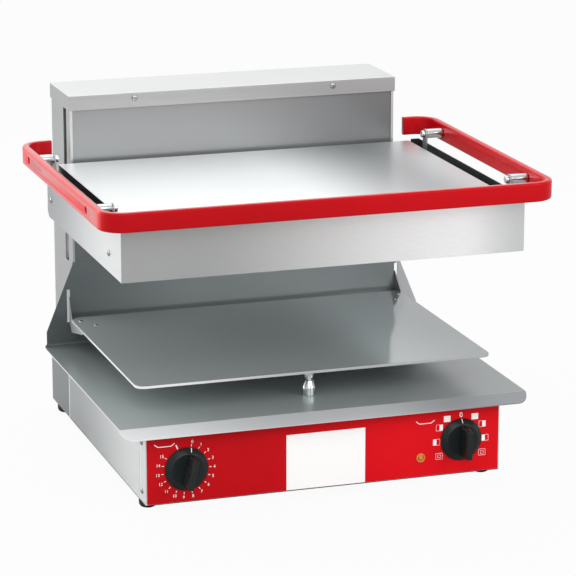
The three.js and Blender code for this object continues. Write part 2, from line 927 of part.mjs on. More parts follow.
function makeGuard() {
  const half = trayHalf - sheet - fit;
  const front = trayFront + sheet + fit;
  const back = trayBack - sheet - fit;
  const bottom = hoodBottom + sheet + guardLift;
  const top = bottom + guardThickness;
  const stepX = (2 * half - guardBar) / guardColumns;
  const stepY = (back - front - guardBar) / guardRows;
  const holes = [];
  for (let column = 0; column < guardColumns; column += 1) {
    for (let row = 0; row < guardRows; row += 1) {
      const x = guardBar - half + column * stepX;
      const y = front + guardBar + row * stepY;
      holes.push(box(x, x + stepX - guardBar, y, y + stepY - guardBar, bottom - overrun, top + overrun));
    }
  }
  return cut(box(-half, half, front, back, bottom, top), ...holes);
}

// The plan of the handle rail: a bar that runs round the front and sides and turns in at the rear.
function railPlan(inset) {
  const outer = railCornerRadius - inset;
  const inner = railCornerRadius - railThickness + inset;
  const x = railHalf - railCornerRadius;
  const front = railCornerRadius - railFront;
  const back = railBack - railCornerRadius;
  const end = railEndHalf + inset;
  const plan = new THREE.Shape();
  plan.moveTo(end, back + outer);
  plan.absarc(x, back, outer, Math.PI / 2, 0, true);
  plan.absarc(x, front, outer, 0, -Math.PI / 2, true);
  plan.absarc(-x, front, outer, 1.5 * Math.PI, Math.PI, true);
  plan.absarc(-x, back, outer, Math.PI, Math.PI / 2, true);
  plan.lineTo(-end, back + outer);
  plan.lineTo(-end, back + inner);
  plan.absarc(-x, back, inner, Math.PI / 2, Math.PI, false);
  plan.absarc(-x, front, inner, Math.PI, 1.5 * Math.PI, false);
  plan.absarc(x, front, inner, -Math.PI / 2, 0, false);
  plan.absarc(x, back, inner, 0, Math.PI / 2, false);
  plan.lineTo(end, back + inner);
  return plan;
}

function makeRail() {
  const options = {
    depth: railHeight - 2 * railRounding,
    bevelEnabled: true,
    bevelSize: railRounding,
    bevelThickness: railRounding,
    bevelSegments: 2,
    curveSegments: arcSteps + 1,
  };
  const bar = new THREE.ExtrudeGeometry(railPlan(railRounding), options).translate(0, 0, railBottom + railRounding);
  const holes = [];
  for (const y of [lugFrontY, lugBackY]) {
    const bore = layAlongX(rod(boltRadius + fit, railHalf - railThickness - overrun, railHalf + overrun, smallSides));
    const recess = layAlongX(rod(railRecessRadius, railHalf - railRecessDepth, railHalf + overrun, smallSides));
    for (const tool of [bore.translate(0, y, railMiddle), recess.translate(0, y, railMiddle)]) {
      holes.push(tool, mirrored(tool));
    }
  }
  return cut(bar, ...holes);
}

// A lug screwed to the inside of the hood's side wall, round at the top, with the bolt's hole.
function makeLug() {
  const plate = new THREE.Shape();
  plate.moveTo(-lugHalfWidth, -lugDepth);
  plate.lineTo(lugHalfWidth, -lugDepth);
  plate.absarc(0, 0, lugHalfWidth, 0, Math.PI, false);
  const hole = layAlongX(rod(boltRadius + fit, -overrun, lugThickness + overrun, smallSides));
  return cut(prismX(plate, 0, lugThickness), hole);
}

function makeSpacer(length) {
  const bore = boltRadius + fit;
  return layAlongX(turned([
    [bore, 0],
    [spacerRadius - spacerChamfer, 0],
    [spacerRadius, spacerChamfer],
    [spacerRadius, length - spacerChamfer],
    [spacerRadius - spacerChamfer, length],
    [bore, length],
    [bore, 0],
  ], middleSides));
}

function makeRailBolt(length) {
  return layAlongX(turned([
    [0, boltSocketDepth - boltHeadLength],
    [boltSocketRadius, boltSocketDepth - boltHeadLength],
    [boltSocketRadius, -boltHeadLength],
    [boltHeadRadius, -boltHeadLength],
    [boltHeadRadius, 0],
    [boltRadius, 0],
    [boltRadius, length],
    [0, length],
  ], smallSides));
}

// The carriage: a beam through both column slots, with a guide block on each rod.
function makeCarriage() {
  const beam = box(-trayHalf, trayHalf, beamFront, beamBack, beamBottom, beamTop);
  const block = box(guideRodX - guideBlockHalf, guideRodX + guideBlockHalf, beamBack - fit,
    guideRodY + guideBlockHalf, armBottom, armTop);
  const bore = rod(guideRodRadius + fit, armBottom - overrun, armTop + overrun, smallSides);
  const hole = bore.translate(guideRodX, guideRodY, 0);
  return cut(join(beam, block, mirrored(block)), hole, mirrored(hole));
}

function makeCrossbar() {
  const top = sideTop - crossbarDrop;
  const bar = box(-columnInside, columnInside, guideRodY - guideBlockHalf / 2, guideRodY + guideBlockHalf / 2,
    top - crossbarHeight, top);
  const bore = rod(guideRodRadius + fit, top - crossbarHeight - overrun, top + overrun, smallSides);
  const hole = bore.translate(guideRodX, guideRodY, 0);
  return cut(bar, hole, mirrored(hole));
}

function makeGasCylinder() {
  const floor = sheet + fit;
  const neck = gasRodRadius + fit;
  return turned([
    [0, floor],
    [gasRadius, floor],
    [gasRadius, gasTop],
    [neck, gasTop],
    [neck, gasTop - gasEnd],
    [gasBore, gasTop - gasEnd],
    [gasBore, floor + gasEnd],
    [0, floor + gasEnd],
  ], smallSides);
}

function makeGasRod() {
  const piston = gasBore - fit;
  return turned([
    [0, gasPistonStart],
    [piston, gasPistonStart],
    [piston, gasPistonStart + gasPistonLength],
    [gasRodRadius, gasPistonStart + gasPistonLength],
    [gasRodRadius, beamBottom - fit],
    [0, beamBottom - fit],
  ], smallSides);
}

function makeShelf() {
  const plan = new THREE.Shape();
  const notchHalf = bracketInner - sheet - fit;
  const front = shelfFront + shelfFrontRadius;
  const x = shelfHalf - shelfFrontRadius;
  plan.moveTo(notchHalf - shelfRearRadius, shelfBack);
  plan.lineTo(shelfRearRadius - notchHalf, shelfBack);
  plan.absarc(shelfRearRadius - notchHalf, shelfBack - shelfRearRadius, shelfRearRadius, Math.PI / 2, Math.PI, false);
  plan.lineTo(-notchHalf, notchFront);
  plan.lineTo(-shelfHalf, notchFront);
  plan.absarc(-x, front, shelfFrontRadius, Math.PI, 1.5 * Math.PI, false);
  plan.absarc(x, front, shelfFrontRadius, -Math.PI / 2, 0, false);
  plan.lineTo(shelfHalf, notchFront);
  plan.lineTo(notchHalf, notchFront);
  plan.absarc(notchHalf - shelfRearRadius, shelfBack - shelfRearRadius, shelfRearRadius, 0, Math.PI / 2, false);
  return prismZ(plan, shelfUnder, shelfTop);
}

// A hook bracket: a plate at the shelf's side that leans in to the rear, its hook through the backsplash, and
// a screw tab.
function makeBracket() {
  const start = notchFront + fit;
  const rear = columnFront - fit;
  const fingerFront = splashBack + 2 * fit;
  const fingerBack = fingerFront + hookFinger;
  const top = shelfUnder - fit;
  const sideView = outline([
    [gussetFront, top],
    [start, top],
    [start, bracketShoulder],
    [rear, hookTop],
    [fingerBack, hookTop],
    [fingerBack, hookSlotBottom - hookFingerDrop],
    [fingerFront, hookSlotBottom - hookFingerDrop],
    [fingerFront, hookSlotBottom + fit],
    [rear, hookSlotBottom + fit],
    [notchFront, top - gussetDepth],
    [gussetFront, top - gussetTipDrop],
  ]);
  const fromAbove = outline([
    [bracketOuter - sheet, gussetFront - overrun],
    [bracketOuter, gussetFront - overrun],
    [bracketOuter, notchFront],
    [bracketInner, rear],
    [bracketInner, fingerBack + overrun],
    [bracketInner - sheet, fingerBack + overrun],
    [bracketInner - sheet, rear],
    [bracketOuter - sheet, notchFront],
  ]);
  const plate = common(
    prismX(sideView, bracketInner - sheet - overrun, bracketOuter + overrun),
    prismZ(fromAbove, top - gussetDepth - overrun, hookTop + overrun),
  );
  const tab = box(tabInner, bracketOuter - sheet / 2, tabFront, tabBack, top - sheet, top);
  return join(plate, tab);
}

// Cabinet
place(cabinet, "base_shell", makeBaseShell(), brushedSteel);
place(cabinet, "front_tray", makeFrontTray(), brushedSteel);
place(cabinet, "fascia_panel", makeFascia(), redEnamel);
place(cabinet, "deck_sheet", makeDeckSheet(), brushedSteel);
place(cabinet, "column_side_right", makeColumnSide(), brushedSteel);
place(cabinet, "column_side_left", mirrored(makeColumnSide()), brushedSteel);
place(cabinet, "column_back", makeColumnBack(), brushedSteel);
place(cabinet, "column_cap", makeCap(), brushedSteel);
for (const [side, sign] of sides) {
  const x = sign * (baseHalf - footRadius - footSideInset);
  place(cabinet, `foot_front_${side}`, makeFoot(), blackRubber, x, footFrontInset);
  place(cabinet, `foot_rear_${side}`, makeFoot(), blackRubber, x, cabinetDepth - footRearInset);
  place(cabinet, `guide_rod_${side}`, rod(guideRodRadius, sheet + fit, sideTop - crossbarDrop + rodTail, smallSides),
    chrome, sign * guideRodX, guideRodY);
  place(cabinet, `gas_cylinder_${side}`, makeGasCylinder(), blackPlastic, sign * gasX, gasY);
}
place(cabinet, "rod_crossbar", makeCrossbar(), darkSteel);
place(cabinet, "timer_unit", makeControlBody(timerBody), greyPlastic, timerX, 0, timerZ);
place(cabinet, "selector_switch", makeControlBody(selectorBody), greyPlastic, selectorX, 0, selectorZ);
place(cabinet, "pilot_lamp", makeLamp(), amberLens, lampX, 0, lampZ);
place(cabinet, "sensor_bush", makeSensorBush(), chrome, 0, sensorY);
place(cabinet, "sensor_housing", makeSensorHousing(), darkSteel, 0, sensorY);
place(cabinet, "sensor_spring", makeSpring(), chrome, 0, sensorY);
place(cabinet, "sensor_microswitch", box(-switchWidth / 2, switchWidth / 2, -switchLength / 2, switchLength / 2,
  housingBottom - fit - switchHeight, housingBottom - fit), blackPlastic, 0, sensorY);
place(cabinet, "terminal_block", makeTerminalBlock(), greyPlastic);
place(cabinet, "cable_gland", makeGland(), blackPlastic, glandX, cabinetDepth, glandZ);

// Hood, which slides as one body
place(hood, "hood_shell", makeHoodShell(), brushedSteel);
place(hood, "hood_cover", makeHoodCover(), brushedSteel);
place(hood, "hood_rear_panel", makeRearPanel(), darkSteel);
place(hood, "heater_tray", makeHeaterTray(), darkSteel);
place(hood, "insulation_slab", makeInsulation(), ceramicFibre);
place(hood, "heating_element_right", makeElement(), darkElement);
place(hood, "heating_element_left", mirrored(makeElement()), darkElement);
place(hood, "element_guard", makeGuard(), chrome);
place(hood, "handle_rail", makeRail(), redEnamel);
place(hood, "lift_carriage", makeCarriage(), darkSteel);
const lugOuter = hoodInside - fit;
const spacerStart = lugOuter + fit;
const spacerLength = railHalf - railThickness - fit - spacerStart;
const boltStart = lugOuter - lugThickness - fit;
const boltLength = railHalf - railRecessDepth - boltStart;
for (const [side, sign] of sides) {
  const facing = sign > 0 ? (geometry) => geometry : mirrored;
  for (const [end, y] of [["front", lugFrontY], ["rear", lugBackY]]) {
    const tail = `${end}_${side}`;
    const lugX = sign * (lugOuter - lugThickness);
    place(hood, `rail_lug_${tail}`, facing(makeLug()), darkSteel, lugX, y, railMiddle);
    place(hood, `rail_spacer_${tail}`, facing(makeSpacer(spacerLength)), chrome, sign * spacerStart, y, railMiddle);
    place(hood, `rail_bolt_${tail}`, facing(makeRailBolt(boltLength)), chrome, sign * boltStart, y, railMiddle);
  }
  const arm = box(armInside, armInside + armThickness, armFront, beamBack, armBottom, armTop);
  place(hood, `lift_arm_${side}`, facing(arm), darkSteel);
  place(hood, `gas_rod_${side}`, makeGasRod(), chrome, sign * gasX, gasY);
}

// Plate shelf and plunger
place(shelf, "plate_shelf", makeShelf(), brushedSteel);
place(shelf, "shelf_bracket_right", makeBracket(), darkSteel);
place(shelf, "shelf_bracket_left", mirrored(makeBracket()), darkSteel);
place(shelf, "sensor_plunger", makePlunger(), chrome, 0, sensorY);

// Knobs
const timerKnob = place(cabinet, "timer_knob", makeKnob(), blackPlastic, timerX, 0, timerZ);
timerKnob.rotation.y = THREE.MathUtils.degToRad(timerTurn);
place(cabinet, "selector_knob", makeKnob(), blackPlastic, selectorX, 0, selectorZ);

// The origin is under the middle of the whole, on the surface that the feet stand on.
const rearmost = cabinetDepth + fit + glandNutLength + glandDomeLength;
grill.position.set(0, (railFront - rearmost) / 2, footHeight);

export default grill;
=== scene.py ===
"""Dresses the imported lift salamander: bevelled sheets, turned pieces, printed dials and finishes."""

import json
import math

import bmesh
import bpy
from bpy.props import FloatProperty, FloatVectorProperty, IntProperty, PointerProperty
from bpy.types import Operator, Panel, PropertyGroup
from mathutils import Matrix, Vector

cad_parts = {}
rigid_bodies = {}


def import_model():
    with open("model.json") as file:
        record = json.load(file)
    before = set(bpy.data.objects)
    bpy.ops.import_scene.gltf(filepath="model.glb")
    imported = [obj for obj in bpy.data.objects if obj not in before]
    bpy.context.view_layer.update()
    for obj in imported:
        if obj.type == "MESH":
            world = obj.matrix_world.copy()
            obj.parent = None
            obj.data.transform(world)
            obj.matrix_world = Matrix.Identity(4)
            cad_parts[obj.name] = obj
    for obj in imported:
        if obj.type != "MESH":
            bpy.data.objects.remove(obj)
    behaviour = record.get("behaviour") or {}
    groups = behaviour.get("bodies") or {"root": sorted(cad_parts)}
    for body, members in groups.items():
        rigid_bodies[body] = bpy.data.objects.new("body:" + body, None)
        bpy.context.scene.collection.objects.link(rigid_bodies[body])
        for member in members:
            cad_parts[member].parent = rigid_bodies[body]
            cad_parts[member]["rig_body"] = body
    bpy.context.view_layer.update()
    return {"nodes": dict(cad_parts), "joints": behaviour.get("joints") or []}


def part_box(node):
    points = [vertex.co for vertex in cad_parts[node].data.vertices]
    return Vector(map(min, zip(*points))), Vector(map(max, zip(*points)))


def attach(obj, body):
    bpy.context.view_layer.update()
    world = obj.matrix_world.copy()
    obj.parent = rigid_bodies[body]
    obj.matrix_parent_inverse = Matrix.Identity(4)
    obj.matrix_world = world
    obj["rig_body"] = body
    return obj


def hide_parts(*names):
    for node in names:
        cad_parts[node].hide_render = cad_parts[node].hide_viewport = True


bl_info = {
    "name": "Lift Salamander",
    "version": (1, 0, 0),
    "blender": (4, 5, 0),
    "location": "View3D > Sidebar > Salamander",
    "description": "Builds the visual model of a counter-top lift salamander over its CAD frame",
    "category": "Object",
}

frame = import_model()
MM = 0.001
SIDES = (("right", 1), ("left", -1))
ENDS = ("front", "rear")
CORNERS = [(f"{end}_{side}", sign) for end in ENDS for side, sign in SIDES]


# Node trees


class Wire:
    """One output of a node tree, which can be used in ordinary sums."""

    def __init__(self, graph, socket):
        self.graph = graph
        self.socket = socket

    def _sum(self, operation, first, second=0.0):
        return self.graph.node("ShaderNodeMath", {"operation": operation}, {0: first, 1: second})

    def __add__(self, other):
        return self._sum("ADD", self, other)

    __radd__ = __add__

    def __sub__(self, other):
        return self._sum("SUBTRACT", self, other)

    def __rsub__(self, other):
        return self._sum("SUBTRACT", other, self)

    def __mul__(self, other):
        return self._sum("MULTIPLY", self, other)

    __rmul__ = __mul__

    def size(self):
        return self._sum("ABSOLUTE", self)

    def larger(self, other):
        return self._sum("MAXIMUM", self, other)

    def above(self, low, high):
        """0 below low, 1 above high, smooth in between."""
        return self.graph.node(
            "ShaderNodeMapRange",
            {"interpolation_type": "SMOOTHSTEP"},
            {"Value": self, "From Min": low, "From Max": high},
        )

    def below(self, low, high):
        """1 below low, 0 above high, smooth in between."""
        return 1.0 - self.above(low, high)

    def within(self, start, low, high, stop):
        """1 from low to high, 0 outside start and stop, smooth in between."""
        return self.above(start, low) * self.below(high, stop)


class Graph:
    """A node tree, with one method that adds any node."""

    def __init__(self, tree):
        self.tree = tree

    def fill(self, socket, value):
        if isinstance(value, Wire):
            self.tree.links.new(value.socket, socket)
        else:
            socket.default_value = value

    def node(self, kind, settings=None, sockets=None, output=0):
        """Adds a node with its settings, then the values or links of its sockets."""
        made = self.tree.nodes.new(kind)
        for name, value in (settings or {}).items():
            setattr(made, name, value)
        for key, value in (sockets or {}).items():
            self.fill(made.inputs[key], value)
        return Wire(self, made.outputs[output])

    def ray(self, kind):
        return self.node("ShaderNodeLightPath", output=f"Is {kind} Ray")


class Finish(Graph):
    """A material on one Principled shader, with the piece's own coordinates at hand."""

    def __init__(self, name):
        self.material = bpy.data.materials.new(name)
        self.material.use_nodes = True
        super().__init__(self.material.node_tree)
        self.shader = self.tree.nodes["Principled BSDF"]
        self.place = self.node("ShaderNodeTexCoord", output="Object")
        split = self.node("ShaderNodeSeparateXYZ", None, {0: self.place}).socket.node
        self.axes = [Wire(self, axis) for axis in split.outputs]

    def mix(self, share, first, second):
        return self.node("ShaderNodeMix", {"data_type": "RGBA"}, {0: share, 6: first, 7: second}, 2)

    def layered(self, colour, layers, worn):
        """The colour under its layers of painted light and shade, each a (share, tint), then all of it scaled
        by the wear.
        """
        tint = self.mix(0.0, colour, colour)
        for share, other in layers:
            tint = self.mix(share, tint, other)
        return self.node("ShaderNodeVectorMath", {"operation": "SCALE"}, {0: tint, "Scale": worn})

    def noise(self, scale, detail=2.0, stretch=(1, 1, 1)):
        vector = self.node("ShaderNodeMapping", None, {"Vector": self.place, "Scale": stretch})
        return self.node("ShaderNodeTexNoise", None, {"Vector": vector, "Scale": scale, "Detail": detail})

    def bump(self, height, strength, distance):
        sockets = {"Height": height, "Strength": strength, "Distance": distance}
        return self.node("ShaderNodeBump", None, sockets)

    def surface(self, **values):
        for name, value in values.items():
            self.fill(self.shader.inputs[name.replace("_", " ")], value)
        return self.material


def tone(red, green, blue):
    """A colour as the eye sees it, 0 to 255, as a linear colour."""

    def linear(value):
        share = value / 255
        return share / 12.92 if share <= 0.04045 else ((share + 0.055) / 1.055) ** 2.4

    return (linear(red), linear(green), linear(blue), 1.0)


def scaled(colour, share):
    return tuple(min(1.0, part * share) for part in colour[:3]) + (1.0,)


def steel(name, colour, shade=None, roughness=0.38, grain=(6, 900, 900), metallic=0.7, gloss=1, relief=1):
    """Brushed stainless steel: fine streaks and broad rolling marks over painted light and shade, laid on as
    slow changes of tone.
    """
    finish = Finish(name)
    streaks = finish.noise(1, 3, grain)
    fingers = finish.noise(7)
    # The shade function's tints are painted light and shade, not the steel's own colour
    layers = [(share, tone(*tint)) for share, tint in (shade(*finish.axes) if shade else ())]
    worn = 0.97 + (streaks - 0.5) * (0.16 * gloss) - (fingers - 0.5) * (0.08 * gloss)
    return finish.surface(
        Base_Color=finish.layered(colour, layers, worn),
        Metallic=metallic,
        Roughness=roughness + (streaks - 0.5) * (0.16 * gloss) + (fingers - 0.5) * (0.1 * gloss),
        Normal=finish.bump(streaks, 0.12 * relief, 0.0001),
    )


def enamel(name, colour, shade):
    """Gloss powder coat with painted light as slow changes of tone, a faint orange peel and slight rubbing.
    """
    finish = Finish(name)
    peel = finish.noise(700)
    rubbed = finish.noise(14, 3)
    slant = finish.node("ShaderNodeLayerWeight", None, {"Blend": 0.5}, "Facing")
    # The shade function's lifts are painted light on the red, not its own colour
    layers = [(share, scaled(colour, lift)) for share, lift in shade(*finish.axes)]
    return finish.surface(
        Base_Color=finish.layered(colour, layers, 0.95 + rubbed * 0.1),
        Roughness=0.3 + (rubbed - 0.5) * 0.12,
        Specular_IOR_Level=0.1,
        Coat_Weight=slant.above(0.35, 0.75) * (1.0 - finish.axes[0].above(0.28, 0.3) * 0.7),
        Coat_Roughness=0.1,
        Normal=finish.bump(peel, 0.05, 0.0003),
    )


def moulded(name, colour, roughness=0.32, grain=2600.0, shine=0.5):
    """Moulded plastic with a fine spark-eroded grain and handling marks."""
    finish = Finish(name)
    speck = finish.noise(grain)
    handled = finish.noise(30)
    return finish.surface(
        Base_Color=finish.mix(handled, scaled(colour, 0.85), scaled(colour, 1.2)),
        Roughness=roughness + (handled - 0.5) * 0.2,
        Specular_IOR_Level=shine,
        Normal=finish.bump(speck, 0.15, 0.0001),
    )


def bright(name, colour, roughness=0.12):
    """Polished or plated metal with fine turning marks."""
    finish = Finish(name)
    turning = finish.noise(1, 2, (900, 900, 60))
    smears = finish.noise(40)
    return finish.surface(
        Base_Color=finish.mix(turning, scaled(colour, 0.92), scaled(colour, 1.05)),
        Metallic=1.0,
        Roughness=roughness + smears * 0.12,
        Normal=finish.bump(turning, 0.05, 0.00005),
    )


def rubber(name, colour):
    finish = Finish(name)
    dust = finish.noise(60, 3)
    pores = finish.noise(1800)
    return finish.surface(
        Base_Color=finish.mix(dust, colour, scaled(colour, 2.0)),
        Roughness=0.75 + dust * 0.2,
        Normal=finish.bump(pores, 0.25, 0.0002),
    )


def lens(name, colour):
    """Amber plastic, glowing a little from inside, with moulded rings whose groove is darkened by painted
    shade.
    """
    finish = Finish(name)
    depth = finish.noise(500)
    middle = middle_of("pilot_lamp")
    centre = (middle.x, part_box("pilot_lamp")[0].y, middle.z)
    ends = {0: finish.place, 1: centre}
    reach = finish.node("ShaderNodeVectorMath", {"operation": "DISTANCE"}, ends, "Value")
    # Painted shade: a darker ring where the groove of the lens lies
    ring = reach.within(0.0026, 0.0034, 0.0042, 0.005)
    glow = finish.mix(depth, scaled(colour, 0.8), scaled(colour, 1.2))
    return finish.surface(
        Base_Color=finish.mix(ring * 0.8, glow, tone(96, 78, 44)),
        Roughness=0.15 + depth * 0.1,
        Coat_Weight=0.5,
        Emission_Color=colour,
        Emission_Strength=0.04,
        Normal=finish.bump(depth, 0.2, 0.0002),
    )


def printed(name, colour):
    """Screen printed ink."""
    finish = Finish(name)
    edge = finish.noise(1200)
    return finish.surface(
        Base_Color=finish.mix(edge, scaled(colour, 0.96), colour),
        Roughness=0.4 + edge * 0.1,
        Normal=finish.bump(edge, 0.05, 0.0001),
    )


def fibre(name, colour):
    finish = Finish(name)
    strands = finish.noise(1, 4, (300, 60, 300))
    return finish.surface(
        Base_Color=finish.mix(strands, scaled(colour, 0.8), colour),
        Roughness=0.85 + strands * 0.1,
        Normal=finish.bump(strands, 0.6, 0.001),
    )


def heated(name, colour):
    """Element sheath and heater metal with straw and blue heat tints."""
    finish = Finish(name)
    bands = finish.noise(9)
    scale = finish.noise(240, 3)
    tint = finish.mix(bands.above(0.35, 0.65), scaled(colour, 0.9), tone(112, 96, 78))
    return finish.surface(
        Base_Color=finish.mix(scale * 0.4, tint, scaled(colour, 0.6)),
        Metallic=0.75,
        Roughness=0.45 + scale * 0.2,
        Normal=finish.bump(scale, 0.1, 0.0002),
    )


FINISHES = {}


def finish_named(name):
    """The materials, each made once, on first use."""
    if name not in FINISHES:
        colours = bpy.context.scene.salamander_colours
        red = (*colours.trim, 1.0)
        black = (*colours.knobs, 1.0)
        metal = (*colours.steel, 1.0)
        vertical = {"roughness": 0.42, "grain": (900, 6, 900)}
        cover = {"roughness": 0.33, "grain": (20, 1500, 20), "gloss": 0.4, "relief": 0.2}
        hood = {"grain": (60, 60, 900), "relief": 0.6}
        deck = {"roughness": 0.28, "grain": (60, 2500, 2500), "metallic": 0.5, "gloss": 0.15, "relief": 0}
        shelf = {"roughness": 0.12, "grain": (60, 300, 60), "metallic": 0.45, "gloss": 0.4, "relief": 0.2}
        makers = {
            # Scaled copies of the steel are painted light and shade: brighter for the cover, hood and base,
            # darker for the column and the inside
            "steel_cover": (steel, scaled(metal, 1.62), {"shade": cover_shade, **cover}),
            "steel_front": (steel, metal, {"roughness": 0.4}),
            "steel_cap": (steel, metal, {"shade": cap_shade, "roughness": 0.4}),
            "steel_hood": (steel, scaled(metal, 1.3), {"shade": hood_shade, **hood}),
            "steel_base": (steel, scaled(metal, 1.4), {"shade": base_shade, **vertical}),
            "steel_deck": (steel, tone(188, 197, 197), {"shade": deck_shade, **deck}),
            "steel_shelf": (steel, tone(182, 190, 190), {"shade": shelf_shade, **shelf}),
            "steel_column": (steel, scaled(metal, 0.66), {"shade": column_shade, **vertical}),
            "steel_inside": (steel, scaled(metal, 0.6), {"roughness": 0.5}),
            "plated": (steel, tone(165, 168, 168), {"roughness": 0.45, "grain": (300, 300, 300)}),
            "screw": (bright, tone(158, 160, 162), {"roughness": 0.16}),
            "chrome": (bright, tone(190, 192, 194), {}),
            "satin_chrome": (bright, tone(206, 208, 210), {"roughness": 0.22}),
            "red": (enamel, red, {"shade": fascia_shade}),
            "red_rail": (enamel, scaled(red, 0.86), {"shade": rail_shade}),
            "knob": (moulded, black, {"roughness": 0.26, "shine": 0.2}),
            "black_plastic": (moulded, tone(34, 36, 38), {"roughness": 0.5}),
            "pale_plastic": (moulded, tone(168, 170, 166), {"roughness": 0.5}),
            "black_paint": (moulded, tone(28, 28, 29), {"roughness": 0.35, "grain": 900.0}),
            "rubber": (rubber, tone(26, 26, 27), {}),
            "lens": (lens, (*colours.lamp, 1.0), {}),
            "ink": (printed, tone(252, 252, 251), {}),
            "fibre": (fibre, tone(232, 228, 216), {}),
            "heated": (heated, tone(84, 84, 86), {}),
        }
        maker, colour, looks = makers[name]
        FINISHES[name] = maker(name, colour, **looks)
    return FINISHES[name]


# Painted light and shade: changes of tone by place on the piece that stand in for shadows, highlights and
# reflections, as pairs of a share and its tint, or its brightness on the red


def fascia_shade(x, y, z):
    """Painted light: brighter to the right, and painted light along the top that lifts the shade under the
    deck's lip.
    """
    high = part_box("fascia_panel")[1]
    return (x.above(-0.12, 0.14), 1.4), (z.above(high.z - 0.022, high.z), 1.9)


def rail_shade(x, y, z):
    """Painted light: a little brighter to the right, and a painted highlight makes it much brighter on the
    left-hand side.
    """
    return (x.above(-0.12, 0.14), 1.15), (x.below(-0.336, -0.333), 1.6)


def cap_shade(x, y, z):
    """Painted shade: the upright faces of the cap are painted duller than its top."""
    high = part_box("column_cap")[1]
    return ((z.below(high.z - 0.0012, high.z - 0.0004), (168, 170, 170)),)


def cover_shade(x, y, z):
    """A painted reflection: a broad duller band towards the right; the side flanges get painted shade."""
    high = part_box("hood_cover")[1]
    band = x.above(0.0, 0.2) * (1.0 - x.above(0.2, 0.32) * 0.6)
    # Painted shade on the side flanges, down in the channel beside the hood's walls
    flange = z.below(high.z - 0.0014, high.z - 0.0005)
    return (band, (154, 156, 158)), (flange, (58, 64, 65))


def hood_shade(x, y, z):
    """Painted light: the front brightens from left to right, and the sides from the rear to the front;
    painted shade darkens the inner walls.
    """
    low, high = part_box("hood_shell")
    front = y.below(low.y + 0.0006, low.y + 0.0012)
    rightwards = x.above(low.x + 0.1, high.x - 0.08)
    rim = x.above(high.x - 0.1, high.x)
    rearwards = (1.0 - front) * y.above(low.y + 0.05, high.y)
    # Painted shade on the inner walls, in the channel round the cover
    inside = x.size().below(high.x - 0.0012, high.x - 0.0008)
    return (
        (inside, (70, 76, 77)),
        (front, (170, 172, 171)),
        (front * rightwards, (247, 247, 247)),
        (front * rim, (206, 208, 209)),
        (rearwards * (1.0 - inside), (160, 162, 165)),
    )


def base_shade(x, y, z):
    """The sides dull towards the rear as painted shade, a painted shadow darkens the lower edge, and the
    tray's returns end in a seam beside a painted highlight.
    """
    low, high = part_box("base_shell")[0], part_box("deck_sheet")[1]
    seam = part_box("front_tray")[1].y
    # Painted shadow along the lower edge
    edge = z.below(low.z + 0.001, low.z + 0.0014)
    joint = y.within(seam - 0.0006, seam - 0.0002, seam + 0.0004, seam + 0.0008)
    # Painted highlight: a white band just in front of the seam
    band = y.within(seam - 0.0045, seam - 0.004, seam - 0.0016, seam - 0.001)
    return (
        (y.above(low.y + 0.02, high.y - 0.02), (166, 169, 170)),
        (joint, (132, 136, 137)),
        (band, (255, 255, 255)),
        (edge, (56, 60, 61)),
    )


def column_shade(x, y, z):
    """Painted light: a painted highlight on the column's front lip, a darker foot with a bright painted strip
    beside the base, and the rear flange seen through the slot painted lit, duller higher up.
    """
    low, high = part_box("column_side_right")
    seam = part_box("deck_sheet")[1].y
    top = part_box("base_shell")[1].z
    # Every tint below is painted light or shade: highlights on the lip, the strip and the flange, shade on
    # the foot
    lip = y.below(low.y + 0.001, low.y + 0.002)
    foot = z.below(top, top + 0.001)
    strip = foot * y.below(seam + 0.003, seam + 0.0035)
    flange = x.size().below(high.x - 0.0098, high.x - 0.0096) * (1.0 - foot)
    return (
        (flange, (250, 250, 250)),
        (flange * z.above(0.3, 0.4), (140, 142, 143)),
        (foot, (134, 138, 139)),
        (strip, (245, 245, 245)),
        (lip * (1.0 - foot), (196, 198, 199)),
    )


def deck_shade(x, y, z):
    """Painted light and shade: the backsplash is duller than the deck, most of all in its lower half under
    the hood and shelf, the rear and right of the deck are duller, and the lip and the cut left edge carry
    painted highlights.
    """
    low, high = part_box("deck_sheet")
    shelf_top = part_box("plate_shelf")[1].z
    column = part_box("column_side_right")[1].x
    upright = y.above(high.y - 0.006, high.y - 0.003)
    # Painted shade on the lower half of the backsplash, under the hood
    sheltered = upright * z.below(shelf_top + 0.03, shelf_top + 0.2)
    rightwards = x.above(low.x, -0.05)
    right_end = x.above(0.05, column)
    # Painted highlights on the lip and on the cut left edge
    lip = y.below(low.y + 0.0185, low.y + 0.0195)
    rear = y.above(low.y + 0.13, high.y)
    edge = x.below(low.x + 0.0003, low.x + 0.0008)
    return (
        (rear, (140, 148, 148)),
        (right_end, (140, 144, 145)),
        (upright, (146, 149, 150)),
        (upright * right_end, (124, 129, 130)),
        (sheltered, (97, 104, 105)),
        (sheltered * rightwards, (166, 172, 173)),
        (sheltered * right_end, (140, 146, 147)),
        (upright * x.above(column - 0.002, column), (205, 207, 209)),
        (lip, (245, 246, 247)),
        (lip * rightwards, (202, 205, 207)),
        (lip * right_end, (138, 142, 145)),
        (edge, (250, 250, 250)),
    )


def shelf_shade(x, y, z):
    """Painted light: a painted highlight on the cut edge of the shelf, fainter towards the right, and the
    right part of the shelf painted duller.
    """
    low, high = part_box("plate_shelf")
    edge = z.below(high.z - 0.0007, high.z - 0.0002)
    return (
        (x.above(0.1, high.x), (150, 156, 157)),
        (edge, (250, 250, 250)),
        (edge * x.above(low.x + 0.01, 0.0), (185, 187, 188)),
    )


# Mesh making


def linked(name, data):
    """A new object in the scene."""
    piece = bpy.data.objects.new(name, data)
    bpy.context.scene.collection.objects.link(piece)
    return piece


def mesh_from(name, bm):
    mesh = bpy.data.meshes.new(name)
    bm.to_mesh(mesh)
    bm.free()
    return mesh


